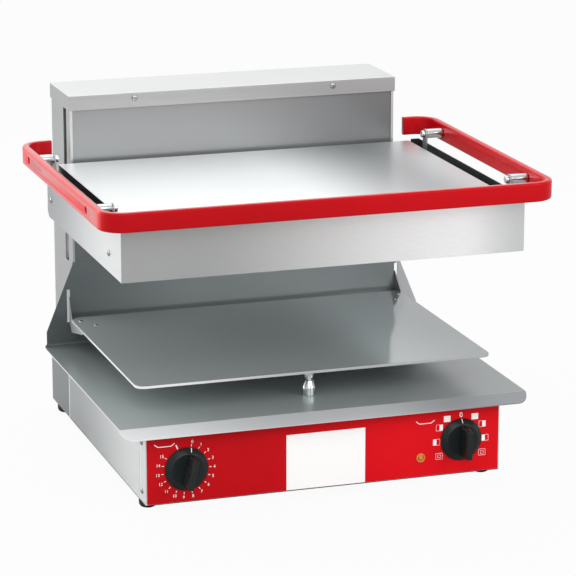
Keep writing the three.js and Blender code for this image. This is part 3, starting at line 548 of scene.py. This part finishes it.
def add_object(name, bm, finish):
    mesh = mesh_from(name, bm)
    mesh.materials.append(finish_named(finish))
    return linked(name, mesh)


def join(bm, part):
    """Moves all of the part into the mesh."""
    mesh = mesh_from("part", part)
    bm.from_mesh(mesh)
    bpy.data.meshes.remove(mesh)


def baked(piece):
    """Turns a piece and its modifiers into a plain mesh."""
    graph = bpy.context.evaluated_depsgraph_get()
    made = bpy.data.meshes.new_from_object(piece.evaluated_get(graph))
    old = piece.data
    piece.modifiers.clear()
    piece.data = made
    made.name = piece.name
    bpy.data.meshes.remove(old)
    return piece


def placed(piece, body):
    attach(piece, body)


def stands_for(piece, node):
    """Puts the piece in the node's place, on the node's body, and hides the node."""
    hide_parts(node)
    placed(piece, frame["nodes"][node]["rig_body"])


def smooth(piece, angle=40):
    piece.data.shade_smooth()
    piece.data.set_sharp_from_angle(angle=math.radians(angle))
    return piece


def middle_of(node):
    low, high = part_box(node)
    return (low + high) / 2


def size_of(node):
    """A node's size along x, y and z, in millimetres."""
    low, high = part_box(node)
    return (high - low) / MM


def dress(finish, *nodes):
    """Gives CAD nodes their finish and leaves their shape alone."""
    for node in nodes:
        materials = frame["nodes"][node].data.materials
        materials.clear()
        materials.append(finish_named(finish))


def cad_copy(node):
    bm = bmesh.new()
    bm.from_mesh(frame["nodes"][node].data)
    bmesh.ops.remove_doubles(bm, verts=bm.verts, dist=0.005 * MM)
    bmesh.ops.dissolve_limit(bm, angle_limit=math.radians(0.6), verts=bm.verts[:], edges=bm.edges[:])
    return bm


def break_edges(piece, radius, angle):
    """Bevels the edges that are sharper than the angle."""
    bevel = piece.modifiers.new("edges", "BEVEL")
    bevel.width = radius * MM
    bevel.segments = 2
    bevel.limit_method = "ANGLE"
    bevel.angle_limit = math.radians(angle)


def fold_sheet(node, finish, radius=None):
    """A folded sheet in place of its CAD node, its edges broken by the set radius if none is given."""
    piece = add_object(f"{node}_sheet", cad_copy(node), finish)
    break_edges(piece, radius or bpy.context.scene.salamander_sizes.edge / MM, 28)
    weighted = piece.modifiers.new("normals", "WEIGHTED_NORMAL")
    weighted.keep_sharp = True
    piece.data.shade_smooth()
    stands_for(baked(piece), node)


def softened(points, radius, steps=3, closed=False):
    """Rounds the corners of a line of (a, b) points, each by up to the radius."""
    made = []
    count = len(points)
    for index, point in enumerate(points):
        here = Vector(point)
        if not closed and index in (0, count - 1):
            made.append(here)
            continue
        back = Vector(points[index - 1]) - here
        ahead = Vector(points[(index + 1) % count]) - here
        reach = min(radius, back.length * 0.45, ahead.length * 0.45)
        start = here + back.normalized() * reach
        end = here + ahead.normalized() * reach
        for step in range(steps + 1):
            share = step / steps
            made.append(start.lerp(here, share).lerp(here.lerp(end, share), share))
    return made


def circle(bm, radius, height, sides):
    """A ring of vertices about Z, or a single one on the axis."""
    if radius < 1e-7:
        return [bm.verts.new((0, 0, height))]
    made = []
    for i in range(sides):
        angle = math.tau * i / sides
        made.append(bm.verts.new((radius * math.cos(angle), radius * math.sin(angle), height)))
    return made


def wall(bm, low, high):
    """Joins two rings by faces, or one ring and a single point."""
    count = max(len(low), len(high))
    for i in range(count):
        j = (i + 1) % count
        corners = (low[i % len(low)], low[j % len(low)], high[j % len(high)], high[i % len(high)])
        bm.faces.new(list(dict.fromkeys(corners)))


def face_out(bm):
    bmesh.ops.recalc_face_normals(bm, faces=bm.faces)


def move_by(bm, matrix):
    bmesh.ops.transform(bm, matrix=matrix, verts=bm.verts)


def turn(bm, profile, sides=48, closed=False):
    """A turned shape about Z from (radius, height) points; a closed profile makes a ring."""
    rings = [circle(bm, radius, height, sides) for radius, height in profile]
    if closed:
        rings.append(rings[0])
    for low, high in zip(rings, rings[1:]):
        wall(bm, low, high)
    face_out(bm)


def turned(node, ending, profile, finish, move, sides=48, closed=False, radius=0.3):
    """A turned piece for a node: its profile in millimetres, softened, then placed by a matrix."""
    bm = bmesh.new()
    points = softened(profile, radius, closed=closed)
    turn(bm, [(a * MM, b * MM) for a, b in points], sides, closed)
    move_by(bm, move)
    stands_for(smooth(add_object(f"{node}_{ending}", bm, finish)), node)


def to_front(x, y, z):
    """Turns +Z to face the front, -Y, and moves it there; metres."""
    return Matrix.Translation((x, y, z)) @ Matrix.Rotation(math.radians(90), 4, "X")


def outwards(x, y, z, sign):
    """Turns +Z to face right, or left where the sign is minus, and moves it there; metres."""
    return Matrix.Translation((x, y, z)) @ Matrix.Rotation(math.radians(90 * sign), 4, "Y")


def to_base_of(node):
    """Moves a shape to the middle of a node's lower end."""
    middle = middle_of(node)
    return Matrix.Translation((middle.x, middle.y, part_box(node)[0].z))


def sweep(bm, path, section):
    """Sweeps a closed section of (across, up) points along a level path of (x, y, z) points."""
    rings = []
    count = len(path)
    for index, point in enumerate(path):
        ahead = path[min(index + 1, count - 1)]
        back = path[max(index - 1, 0)]
        along = (Vector(ahead) - Vector(back)).normalized()
        side = along.cross(Vector((0, 0, 1)))
        rings.append([bm.verts.new(Vector(point) + side * a + Vector((0, 0, b))) for a, b in section])
    for low, high in zip(rings, rings[1:]):
        wall(bm, low, high)
    bm.faces.new(rings[0])
    bm.faces.new(rings[-1])
    face_out(bm)


def rectangle(left, low, right, high):
    return [(left, low), (right, low), (right, high), (left, high)]


def slab(bm, outline, front, back):
    """A prism facing the front, from an outline of (x, z) points."""
    near = [bm.verts.new((x, front, z)) for x, z in outline]
    far = [bm.verts.new((x, back, z)) for x, z in outline]
    bm.faces.new(near)
    bm.faces.new(list(reversed(far)))
    wall(bm, far, near)


# Settings that a user would change

COLOUR = {"subtype": "COLOR", "size": 3}
LENGTH = {"unit": "LENGTH", "precision": 5}


class SalamanderColours(PropertyGroup):
    trim: FloatVectorProperty(
        name="Trim", description="Colour of the rail and the fascia", default=tone(188, 11, 21)[:3], **COLOUR
    )
    steel: FloatVectorProperty(
        name="Steel", description="Colour of the stainless sheet", default=tone(200, 202, 202)[:3], **COLOUR
    )
    knobs: FloatVectorProperty(
        name="Knobs", description="Colour of the control knobs", default=tone(30, 35, 35)[:3], **COLOUR
    )
    lamp: FloatVectorProperty(
        name="Lamp", description="Colour of the pilot lamp's lens", default=tone(214, 122, 20)[:3], **COLOUR
    )


class SalamanderSizes(PropertyGroup):
    edge: FloatProperty(
        name="Sheet edge",
        description="Radius broken on the edges of the sheet metal",
        default=0.4 * MM, min=0.1 * MM, max=0.7 * MM, **LENGTH,
    )
    screw: FloatProperty(
        name="Screw head",
        description="Radius of the pan head screws",
        default=4.7 * MM, min=2 * MM, max=7 * MM, **LENGTH,
    )
    dial_figure: FloatProperty(
        name="Dial figures",
        description="Height of the figures on the timer's dial",
        default=4.6 * MM, min=2 * MM, max=9 * MM, **LENGTH,
    )
    dial_count: IntProperty(
        name="Dial steps", description="Number of marked steps on the timer's dial", default=16, min=4, max=16
    )


# Stage

CAMERA_LENS = 180.68
CAMERA_PLACE = (-1.292734, -4.019397, 1.356964)
CAMERA_DOWN = 0.257357
CAMERA_RIGHT = 0.317705

# Each lamp's name, place and target, its width in metres and its power in watts
SOFTBOXES = (
    ("top_softbox", (-0.2, 0.9, 2.4), (0, 0, 0.3), 3.4, 32.0),
    ("left_softbox", (-2.3, 1.2, 0.9), (0, 0, 0.2), 2.6, 48.0),
    ("right_softbox", (2.0, -2.6, 1.4), (0, 0, 0.3), 1.3, 22.0),
    ("front_softbox", (-0.6, -3.4, 2.6), (0, 0, 0.2), 3.2, 60.0),
)


class SALAMANDER_OT_stage(Operator):
    """Make the camera, the floor, the world and the lamps"""

    bl_idname = "salamander.stage"
    bl_label = "Stage"

    def execute(self, context):
        scene = context.scene
        scene.view_settings.view_transform = "Standard"
        self.make_camera(scene)
        self.make_world(scene)
        self.make_floor()
        for lamp in SOFTBOXES:
            self.make_lamp(*lamp)
        return {"FINISHED"}

    def make_camera(self, scene):
        data = bpy.data.cameras.new("photo_camera")
        data.lens = CAMERA_LENS
        camera = linked("photo_camera", data)
        camera.location = CAMERA_PLACE
        camera.rotation_euler = (math.radians(90) - CAMERA_DOWN, 0.0, -CAMERA_RIGHT)
        scene.camera = camera

    def make_world(self, scene):
        """White to the camera, through clear parts and in gloss, and a little darker as light."""
        world = bpy.data.worlds.new("studio")
        world.use_nodes = True
        studio = Graph(world.node_tree)
        light = 0.85
        gloss = light + studio.ray("Glossy") * (1.0 - light)
        seen = studio.ray("Camera").larger(studio.ray("Transmission"))
        sky = world.node_tree.nodes["Background"].inputs
        studio.fill(sky["Color"], (1, 1, 1, 1))
        studio.fill(sky["Strength"], seen.larger(gloss))
        scene.world = world

    def make_floor(self):
        """A grey floor that holds the shadow, almost white to the camera."""
        paint = Finish("pale_floor")
        material = paint.surface(Base_Color=(0.4, 0.4, 0.4, 1.0), Roughness=0.8)
        glow = paint.node("ShaderNodeEmission")
        sockets = {0: paint.ray("Camera") * 0.95, 1: Wire(paint, paint.shader.outputs[0]), 2: glow}
        mixed = paint.node("ShaderNodeMixShader", None, sockets)
        paint.fill(paint.tree.nodes["Material Output"].inputs["Surface"], mixed)
        bm = bmesh.new()
        bmesh.ops.create_grid(bm, x_segments=1, y_segments=1, size=6.0)
        bmesh.ops.translate(bm, vec=(0, 0, -0.5 * MM), verts=bm.verts)
        mesh = mesh_from("floor", bm)
        mesh.materials.append(material)
        linked("floor", mesh)

    def make_lamp(self, name, place, target, size, power):
        data = bpy.data.lights.new(name, "AREA")
        data.shape = "DISK"
        data.size = size
        data.energy = power
        lamp = linked(name, data)
        lamp.location = place
        aim = Vector(target) - Vector(place)
        lamp.rotation_euler = aim.to_track_quat("-Z", "Y").to_euler()


# The object


class SALAMANDER_OT_cabinet(Operator):
    """Make the base, the deck and the column"""

    bl_idname = "salamander.cabinet"
    bl_label = "Cabinet"

    def execute(self, context):
        fold_sheet("base_shell", "steel_base")
        fold_sheet("front_tray", "steel_base")
        fold_sheet("fascia_panel", "red", 0.2)
        fold_sheet("deck_sheet", "steel_deck")
        fold_sheet("column_side_left", "steel_column")
        fold_sheet("column_side_right", "steel_column")
        fold_sheet("column_back", "steel_front", 0.3)
        fold_sheet("column_cap", "steel_cap", 0.5)
        dress("plated", "rod_crossbar", "sensor_housing")
        dress("pale_plastic", "timer_unit", "selector_switch", "terminal_block")
        dress("black_plastic", "sensor_microswitch", "cable_gland")
        dress("satin_chrome", "sensor_spring")
        dress("chrome", "guide_rod_left", "guide_rod_right")
        dress("black_paint", "gas_cylinder_left", "gas_cylinder_right")
        for corner, _ in CORNERS:
            self.make_foot(f"foot_{corner}")
        return {"FINISHED"}

    def make_foot(self, node):
        wide, _, tall = size_of(node)
        radius = wide / 2
        rise = [(0, 0), (0.62, 0), (0.82, 0.1), (0.95, 0.29), (1, 0.5), (1, 0.86)]
        profile = [(radius * a, tall * b) for a, b in rise] + [(radius - 0.8, tall), (0, tall)]
        turned(node, "moulded", profile, "rubber", to_base_of(node), 40, radius=0.8)


class SALAMANDER_OT_hood(Operator):
    """Make the hood, its heater and its lift gear"""

    bl_idname = "salamander.hood"
    bl_label = "Hood"

    def execute(self, context):
        fold_sheet("hood_shell", "steel_hood")
        fold_sheet("hood_cover", "steel_cover")
        fold_sheet("hood_rear_panel", "steel_front", 0.3)
        fold_sheet("heater_tray", "steel_inside", 0.3)
        fold_sheet("lift_carriage", "plated")
        fold_sheet("lift_arm_right", "plated")
        fold_sheet("lift_arm_left", "plated")
        dress("fibre", "insulation_slab")
        dress("satin_chrome", "element_guard")
        dress("heated", "heating_element_left", "heating_element_right")
        dress("chrome", "gas_rod_left", "gas_rod_right")
        return {"FINISHED"}


# The rail in millimetres: its thickness, the radius of its corners and edges, and where its ends stop
RAIL_THICK = 10.5
RAIL_CORNER = 36
RAIL_EDGE = 3.6
RAIL_END = 286
CORNER_STEPS = 16


class SALAMANDER_OT_rail(Operator):
    """Make the handle rail with its lugs, spacers and bolts"""

    bl_idname = "salamander.rail"
    bl_label = "Handle rail"

    def execute(self, context):
        self.make_rail()
        for corner, sign in CORNERS:
            fold_sheet(f"rail_lug_{corner}", "plated", 0.3)
            self.make_spacer(f"rail_spacer_{corner}", sign)
            self.make_bolt(f"rail_bolt_{corner}", sign)
        return {"FINISHED"}

    def make_rail(self):
        low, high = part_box("handle_rail")
        across, up = RAIL_THICK * MM / 2, (high.z - low.z) / 2
        corner = RAIL_CORNER * MM - across
        right, front, back = high.x - across - corner, low.y + across, high.y - across
        turns = (
            (right, back - corner, 90, 0),
            (right, front + corner, 0, -90),
            (-right, front + corner, -90, -180),
            (-right, back - corner, 180, 90),
        )
        path = [(RAIL_END * MM, back)]
        for x, y, start, stop in turns:
            for step in range(CORNER_STEPS + 1):
                angle = math.radians(start + (stop - start) * step / CORNER_STEPS)
                path.append((x + corner * math.cos(angle), y + corner * math.sin(angle)))
        path.append((-RAIL_END * MM, back))
        corners = [(-across, -up), (-across, up), (across, up), (across, -up)]
        section = softened(corners, RAIL_EDGE * MM, 5, True)
        middle = (low.z + high.z) / 2
        bm = bmesh.new()
        sweep(bm, [(x, y, middle) for x, y in path], section)
        rail = add_object("handle_rail_bar", bm, "red_rail")
        drill = self.make_drill(high.x)
        cut = rail.modifiers.new("recesses", "BOOLEAN")
        cut.object = drill
        cut.solver = "EXACT"
        break_edges(rail, 0.5, 50)
        baked(rail)
        bpy.data.objects.remove(drill)
        stands_for(smooth(rail), "handle_rail")

    def make_drill(self, reach):
        """The bolt recesses, as one cutter."""
        bm = bmesh.new()
        radius, deep, clear = 5.5 * MM, 5 * MM, 6 * MM
        for corner, sign in CORNERS:
            middle = middle_of(f"rail_bolt_{corner}")
            part = bmesh.new()
            turn(part, [(0, -deep), (radius, -deep), (radius, clear), (0, clear)], 32)
            move_by(part, outwards(sign * reach, middle.y, middle.z, sign))
            join(bm, part)
        return add_object("recess_cutter", bm, "red_rail")

    def outwards_from(self, node, sign):
        """The matrix for a turned piece that starts at its end nearer the hood."""
        low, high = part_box(node)
        middle = (low + high) / 2
        return outwards(low.x if sign > 0 else high.x, middle.y, middle.z, sign)

    def make_spacer(self, node, sign):
        length, _, wide = size_of(node)
        outer, bore, edge = wide / 2, 3.4, 0.6
        profile = [(bore, 0), (outer - edge, 0), (outer, edge)]
        profile += [(outer, length - edge), (outer - edge, length), (bore, length)]
        turned(node, "tube", profile, "chrome", self.outwards_from(node, sign), 48, True, 0.5)

    def make_bolt(self, node, sign):
        length, _, wide = size_of(node)
        head = wide / 2
        profile = [(0, 3), (2.4, 2.6), (2.6, 0.2), (head - 0.8, 0), (head, 0.9), (head, 5.4)]
        profile += [(3, 5.4), (3, length - 0.5), (2.5, length), (0, length)]
        turned(node, "turned", profile, "satin_chrome", self.outwards_from(node, sign), 36)


class SALAMANDER_OT_shelf(Operator):
    """Make the plate shelf and the sensor that it rests on"""

    bl_idname = "salamander.shelf"
    bl_label = "Shelf and sensor"

    def execute(self, context):
        fold_sheet("plate_shelf", "steel_shelf")
        fold_sheet("shelf_bracket_left", "plated", 0.3)
        fold_sheet("shelf_bracket_right", "plated", 0.3)
        self.make_bush()
        self.make_plunger()
        return {"FINISHED"}

    def make_bush(self):
        node = "sensor_bush"
        tall = size_of(node).z
        deck = (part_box("fascia_panel")[1].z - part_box(node)[0].z) / MM + 3.4
        profile = [(5.1, 0), (6.8, 0), (6.8, deck), (8.9, deck), (8.9, deck + 0.9)]
        profile += [(9.6, deck + 1.2), (9.6, deck + 11.4), (5.9, tall), (5.1, tall)]
        turned(node, "turned", profile, "chrome", to_base_of(node), 64, True, 0.5)

    def make_plunger(self):
        node = "sensor_plunger"
        tall = size_of(node).z
        rim = (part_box("sensor_bush")[1].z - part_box(node)[0].z) / MM + 3.9
        profile = [(0, 0), (4.8, 0), (4.8, 18), (10, 18), (10, 21), (4.8, 21), (4.8, rim), (7.3, rim)]
        profile += [(7.3, rim + 8), (5.5, rim + 8), (5.5, tall - 0.6), (4.9, tall), (0, tall)]
        turned(node, "turned", profile, "chrome", to_base_of(node), 64)


# The prints on the fascia, in millimetres and degrees from the top around their knob
DIAL_START = 12.4
DIAL_STEP = 19.3
DIAL_TRAY = -22.6
FIGURE_REACH = 41.6
TWO_DIGITS_FURTHER = 1.2
TICK = (34, 37.2)
TRAY_TICK = (32.8, 39.6)
ZONES = ((21.7, 32.8), (33.5, 20.3), (38, -1.4), (33.6, -23.2))
ZONE_HALF = (5.2, 4.6)
ZONE_INNER = 0.45
WHITE_FIELD = (-60, 0.3, 60, 83.5)
PRINT_THICK = 0.06


class SALAMANDER_OT_controls(Operator):
    """Make the knobs, the dials' prints and the pilot lamp"""

    bl_idname = "salamander.controls"
    bl_label = "Controls"

    def execute(self, context):
        self.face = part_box("fascia_panel")[0].y
        self.sizes = context.scene.salamander_sizes
        self.make_knob("timer_knob", math.radians(DIAL_START))
        self.make_knob("selector_knob", 0.0)
        self.make_lamp()
        self.make_prints()
        return {"FINISHED"}

    def centre(self, node):
        for joint in frame["joints"]:
            if joint["child"] == node:
                return Vector(joint["pos_m"])
        raise ValueError(f"{node} has no joint")

    def make_knob(self, node, angle):
        """Flange, cone, dished face and the grip bar; turned by the pointer's angle at rest."""
        place = self.centre(node)
        profile = [(0, -14), (3, -14), (3, 0.6), (31, 0.6), (32, 1.4)]
        profile += [(31.8, 2.6), (24.6, 8.6), (23.8, 9), (22.6, 8.8), (0, 6.6)]
        bm = bmesh.new()
        turn(bm, [(a * MM, b * MM) for a, b in softened(profile, 0.5)], 96)
        join(bm, self.grip(self.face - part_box(node)[0].y))
        move = to_front(place.x, self.face, place.z) @ Matrix.Rotation(-angle, 4, "Z")
        move_by(bm, move)
        stands_for(smooth(add_object(f"{node}_moulded", bm, "knob"), 35), node)
        self.make_pointer(node, move)

    def grip(self, tip):
        """The grip bar across the knob, a little narrower and shorter at its tip."""
        bar = bmesh.new()
        half, long, base = 5 * MM, 21.5 * MM, 3 * MM
        steps = 12
        ends = []
        for z, across, along in ((base, half, long + 0.6 * MM), (tip, half - 0.75 * MM, long)):
            side = [(across, (index / steps - 0.5) * 2 * along) for index in range(steps + 1)]
            outline = side + [(-x, y) for x, y in reversed(side)]
            ends.append([bar.verts.new((x, y, z)) for x, y in outline])
        low, high = ends
        wall(bar, low, high)
        bar.faces.new(list(reversed(low)))
        bar.faces.new(high)
        face_out(bar)
        sharp = [edge for edge in bar.edges if edge.calc_face_angle(0) > math.radians(40)]
        bmesh.ops.bevel(bar, geom=sharp, offset=0.8 * MM, segments=3, profile=0.5, affect="EDGES")
        return bar

    def make_pointer(self, node, move):
        """The white line on the cone."""
        half, outer, inner = 0.5, 31.6, 26.4
        bm = bmesh.new()
        low, high = [], []
        for x, y in rectangle(-half, outer, half, inner):
            cone = 2.7 + (31.8 - y) / 7.2 * 6.0
            low.append(bm.verts.new((x * MM, y * MM, (cone - 0.4) * MM)))
            high.append(bm.verts.new((x * MM, y * MM, (cone + 0.12) * MM)))
        bm.faces.new(low)
        bm.faces.new(high)
        wall(bm, low, high)
        move_by(bm, move)
        face_out(bm)
        placed(add_object(f"{node}_pointer", bm, "ink"), node)

    def make_lamp(self):
        middle = middle_of("pilot_lamp")
        profile = [(0, -24), (4.7, -24), (4.7, 0.1), (7, 0.1), (7, 1.2), (6.4, 2)]
        profile += [(5.4, 2), (5.0, 1.2), (4.4, 1.4), (3, 2.3), (0, 2.6)]
        move = to_front(middle.x, self.face, middle.z)
        turned("pilot_lamp", "lens", profile, "lens", move, radius=0.25)

    def make_prints(self):
        bm = bmesh.new()
        self.print_timer(bm)
        self.print_selector(bm)
        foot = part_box("fascia_panel")[0].z
        left, low, right, high = (size * MM for size in WHITE_FIELD)
        self.bar(bm, rectangle(left, foot + low, right, foot + high))
        face_out(bm)
        placed(add_object("fascia_prints", bm, "ink"), "cabinet")

    def bar(self, bm, outline):
        slab(bm, outline, self.face - PRINT_THICK * MM, self.face + 0.2 * MM)

    def line(self, bm, start, end, width):
        a, b = Vector(start), Vector(end)
        side = (b - a).normalized().orthogonal() * width * MM / 2
        self.bar(bm, [tuple(a - side), tuple(b - side), tuple(b + side), tuple(a + side)])

    def lines(self, bm, points, width):
        for start, end in zip(points, points[1:]):
            self.line(bm, start, end, width)

    def tick(self, bm, middle, angle, reach, width):
        """A mark that points away from the middle (x, z) of a knob."""
        away = Vector((math.sin(angle), math.cos(angle))) * MM
        self.line(bm, middle + away * reach[0], middle + away * reach[1], width)

    def figure(self, bm, words, x, z, height, weight=0.0):
        """A number as a thin print, centred on (x, z); weight thickens its strokes."""
        data = bpy.data.curves.new("figure", "FONT")
        data.body = words
        data.size = height * 1.4
        data.align_x = data.align_y = "CENTER"
        data.resolution_u = 3
        data.offset = weight
        data.extrude = PRINT_THICK * MM
        holder = linked("figure", data)
        bpy.context.view_layer.update()
        mesh = bpy.data.meshes.new_from_object(holder)
        mesh.transform(to_front(x, self.face, z))
        bm.from_mesh(mesh)
        bpy.data.objects.remove(holder)
        bpy.data.meshes.remove(mesh)
        bpy.data.curves.remove(data)

    def print_timer(self, bm):
        centre = self.centre("timer_knob")
        middle = Vector((centre.x, centre.z))
        ring = middle - Vector((0, 0.8 * MM))
        for number in range(self.sizes.dial_count):
            angle = math.radians(DIAL_START + DIAL_STEP * number)
            further = TWO_DIGITS_FURTHER * abs(math.sin(angle)) if number > 9 else 0
            reach = (FIGURE_REACH + further) * MM
            x = middle.x + reach * math.sin(angle)
            z = middle.y - 1.2 * MM + reach * math.cos(angle)
            self.figure(bm, str(number), x, z, self.sizes.dial_figure)
            self.tick(bm, ring, angle, TICK, 0.9)
        self.tick(bm, middle, math.radians(DIAL_TRAY), TRAY_TICK, 1.8)
        self.tray_sign(bm, middle.x - 32.1 * MM, middle.y + 35.7 * MM, 30)

    def print_selector(self, bm):
        centre = self.centre("selector_knob")
        x, z = centre.x, centre.z
        self.figure(bm, "0", x, z + 36.8 * MM, 7.6 * MM, 0.1 * MM)
        self.tray_sign(bm, x - 55.6 * MM, z + 29 * MM, 29)
        for kind, (across, up) in enumerate(ZONES):
            for sign in (-1, 1):
                self.zone(bm, x + sign * across * MM, z + up * MM, kind)

    def tray_sign(self, bm, x, z, width):
        """A dish seen from the side: a base line and two rising ends."""
        half, slope, rise = width * MM / 2, 5.3 * MM, 4.1 * MM
        left, right = x - half, x + half
        points = [(left, z + rise), (left + slope, z), (right - slope, z), (right, z + rise)]
        self.lines(bm, points, 1.1)

    def zone(self, bm, x, z, kind):
        """One heating zone mark: full, half full on either side, or an outline with a small square."""
        across, up = (half * MM for half in ZONE_HALF)
        left, right = x - across, x + across
        filled = {0: (left, right), 1: (x, right), 2: (left, x)}
        if kind in filled:
            start, end = filled[kind]
            self.bar(bm, rectangle(start, z - up, end, z + up))
        if kind == 0:
            return
        corners = rectangle(left, z - up, right, z + up)
        corners.append(corners[0])
        self.lines(bm, corners, 0.4)
        if kind == 3:
            inner = [(x + (a - x) * ZONE_INNER, z + (b - z) * ZONE_INNER) for a, b in corners]
            self.lines(bm, inner, 0.4)


# Where the screws sit, in millimetres from the edges of what they hold
CAP_SCREW = (160, 8.3)
TRAY_SCREWS = (17.2, (90.4, 18))
BACK_SCREWS = (250, (20, 250, 485))
SHELF_SCREWS = ((259, 24), (242.5, 53))
HOOD_SCREWS = ((65.2, 28.5), (406.6, 30))
LUG_SCREW = 16


class SALAMANDER_OT_screws(Operator):
    """Scatter the pan head screws over the places that have one"""

    bl_idname = "salamander.screws"
    bl_label = "Screws"

    def execute(self, context):
        template = self.make_screw()
        self.tree = self.screw_tree(template)
        self.head = context.scene.salamander_sizes.screw
        cabinet, hood, shelf = [], [], []
        for side, sign in reversed(SIDES):
            cabinet += self.cabinet_places(sign)
            shelf += self.shelf_places(sign)
            hood += self.hood_places(side, sign)
        self.scatter("cabinet_screws", cabinet, "cabinet")
        self.scatter("hood_screws", hood, "hood")
        self.scatter("shelf_screws", shelf, "plate_shelf")
        bpy.data.objects.remove(template)
        return {"FINISHED"}

    def cabinet_places(self, sign):
        """The place of each screw on one side, the way it faces and its share of the full size."""
        cap, tray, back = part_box("column_cap"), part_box("front_tray"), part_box("column_back")
        x, down = CAP_SCREW
        yield (sign * x * MM, cap[0].y, cap[1].z - down * MM), (0, -1, 0), 1.0
        y, heights = TRAY_SCREWS
        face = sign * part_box("base_shell")[1].x
        for z in heights:
            yield (face, tray[0].y + y * MM, tray[0].z + z * MM), (sign, 0, 0), 0.95
        x, heights = BACK_SCREWS
        for z in heights:
            yield (sign * x * MM, back[1].y, back[0].z + z * MM), (0, 1, 0), 0.8

    def shelf_places(self, sign):
        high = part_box("plate_shelf")[1]
        for x, y in SHELF_SCREWS:
            yield (sign * x * MM, high.y - y * MM, high.z), (0, 0, 1), 0.62

    def hood_places(self, side, sign):
        low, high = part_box("hood_shell")
        for y, z in HOOD_SCREWS:
            yield (sign * high.x, low.y + y * MM, low.z + z * MM), (sign, 0, 0), 1.0
        for end in ENDS:
            low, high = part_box(f"rail_lug_{end}_{side}")
            inner = low.x if sign > 0 else high.x
            yield (inner, (low.y + high.y) / 2, low.z + LUG_SCREW * MM), (-sign, 0, 0), 0.7

    def scatter(self, name, places, body):
        bm = bmesh.new()
        facing = bm.verts.layers.float_vector.new("facing")
        size = bm.verts.layers.float.new("share")
        for place, outward, share in places:
            vert = bm.verts.new(place)
            vert[facing] = outward
            vert[size] = share
        piece = add_object(name, bm, "screw")
        modifier = piece.modifiers.new("screws", "NODES")
        modifier.node_group = self.tree
        names = {item.name: item.identifier for item in self.tree.interface.items_tree}
        modifier[names["Head radius"]] = self.head
        placed(smooth(baked(piece)), body)

    def make_screw(self):
        """A pan head of unit radius with a cross slot, standing on Z = 0."""
        bm = bmesh.new()
        profile = [(0, -0.15), (0.96, -0.15), (1, 0.02), (0.97, 0.22), (0.8, 0.42), (0.45, 0.54), (0, 0.56)]
        turn(bm, softened(profile, 0.08), 28)
        head = add_object("screw_head", bm, "screw")
        cutters = []
        for size in ((1, 0.2, 0.6, 1), (0.2, 1, 0.6, 1)):
            cross = bmesh.new()
            move = Matrix.Translation((0, 0, 0.6)) @ Matrix.Diagonal(size)
            bmesh.ops.create_cube(cross, size=1.0, matrix=move)
            cut = head.modifiers.new("cross", "BOOLEAN")
            cut.object = add_object("cross_cutter", cross, "screw")
            cut.solver = "EXACT"
            cutters.append(cut.object)
        baked(head)
        for cutter in cutters:
            bpy.data.objects.remove(cutter)
        return head

    def screw_tree(self, template):
        """Stands the template on every point, turned to its facing and grown to its share of the size."""
        group = bpy.data.node_groups.new("pan_head_screws", "GeometryNodeTree")
        socket = group.interface.new_socket
        socket("Geometry", in_out="INPUT", socket_type="NodeSocketGeometry")
        radius = socket("Head radius", in_out="INPUT", socket_type="NodeSocketFloat")
        radius.default_value = 5 * MM
        socket("Geometry", in_out="OUTPUT", socket_type="NodeSocketGeometry")
        graph = Graph(group)
        given = graph.node("NodeGroupInput", output="Geometry")
        head = Wire(graph, given.socket.node.outputs["Head radius"])
        points = graph.node("GeometryNodeMeshToPoints", None, {"Mesh": given})
        named = "GeometryNodeInputNamedAttribute"
        facing = graph.node(named, {"data_type": "FLOAT_VECTOR"}, {"Name": "facing"}, "Attribute")
        share = graph.node(named, {"data_type": "FLOAT"}, {"Name": "share"}, "Attribute")
        turning = graph.node("FunctionNodeAlignRotationToVector", {"axis": "Z"}, {"Vector": facing})
        screw = graph.node("GeometryNodeObjectInfo", None, {"Object": template}, "Geometry")
        stood = {"Points": points, "Instance": screw, "Rotation": turning, "Scale": head * share}
        copies = graph.node("GeometryNodeInstanceOnPoints", None, stood)
        real = graph.node("GeometryNodeRealizeInstances", None, {"Geometry": copies})
        sockets = {"Geometry": real, "Material": finish_named("screw")}
        painted = graph.node("GeometryNodeSetMaterial", None, sockets)
        graph.fill(group.nodes.new("NodeGroupOutput").inputs["Geometry"], painted)
        return group


class SALAMANDER_PT_panel(Panel):
    """Sizes and colours, and a button for each group of pieces"""

    bl_label = "Lift Salamander"
    bl_idname = "SALAMANDER_PT_panel"
    bl_space_type = "VIEW_3D"
    bl_region_type = "UI"
    bl_category = "Salamander"

    def draw(self, context):
        layout = self.layout
        for group in (context.scene.salamander_sizes, context.scene.salamander_colours):
            column = layout.column(align=True)
            for name in group.__annotations__:
                column.prop(group, name)
        for operator in OPERATORS:
            layout.operator(operator.bl_idname)


OPERATORS = (
    SALAMANDER_OT_stage,
    SALAMANDER_OT_cabinet,
    SALAMANDER_OT_hood,
    SALAMANDER_OT_rail,
    SALAMANDER_OT_shelf,
    SALAMANDER_OT_controls,
    SALAMANDER_OT_screws,
)
CLASSES = (SalamanderColours, SalamanderSizes, *OPERATORS, SALAMANDER_PT_panel)


def register():
    for item in CLASSES:
        bpy.utils.register_class(item)
    bpy.types.Scene.salamander_colours = PointerProperty(type=SalamanderColours)
    bpy.types.Scene.salamander_sizes = PointerProperty(type=SalamanderSizes)


def unregister():
    del bpy.types.Scene.salamander_sizes
    del bpy.types.Scene.salamander_colours
    for item in reversed(CLASSES):
        bpy.utils.unregister_class(item)


def main():
    register()
    bpy.ops.salamander.stage()
    bpy.ops.salamander.cabinet()
    bpy.ops.salamander.hood()
    bpy.ops.salamander.rail()
    bpy.ops.salamander.shelf()
    bpy.ops.salamander.controls()
    bpy.ops.salamander.screws()


if __name__ == "__main__":
    main()
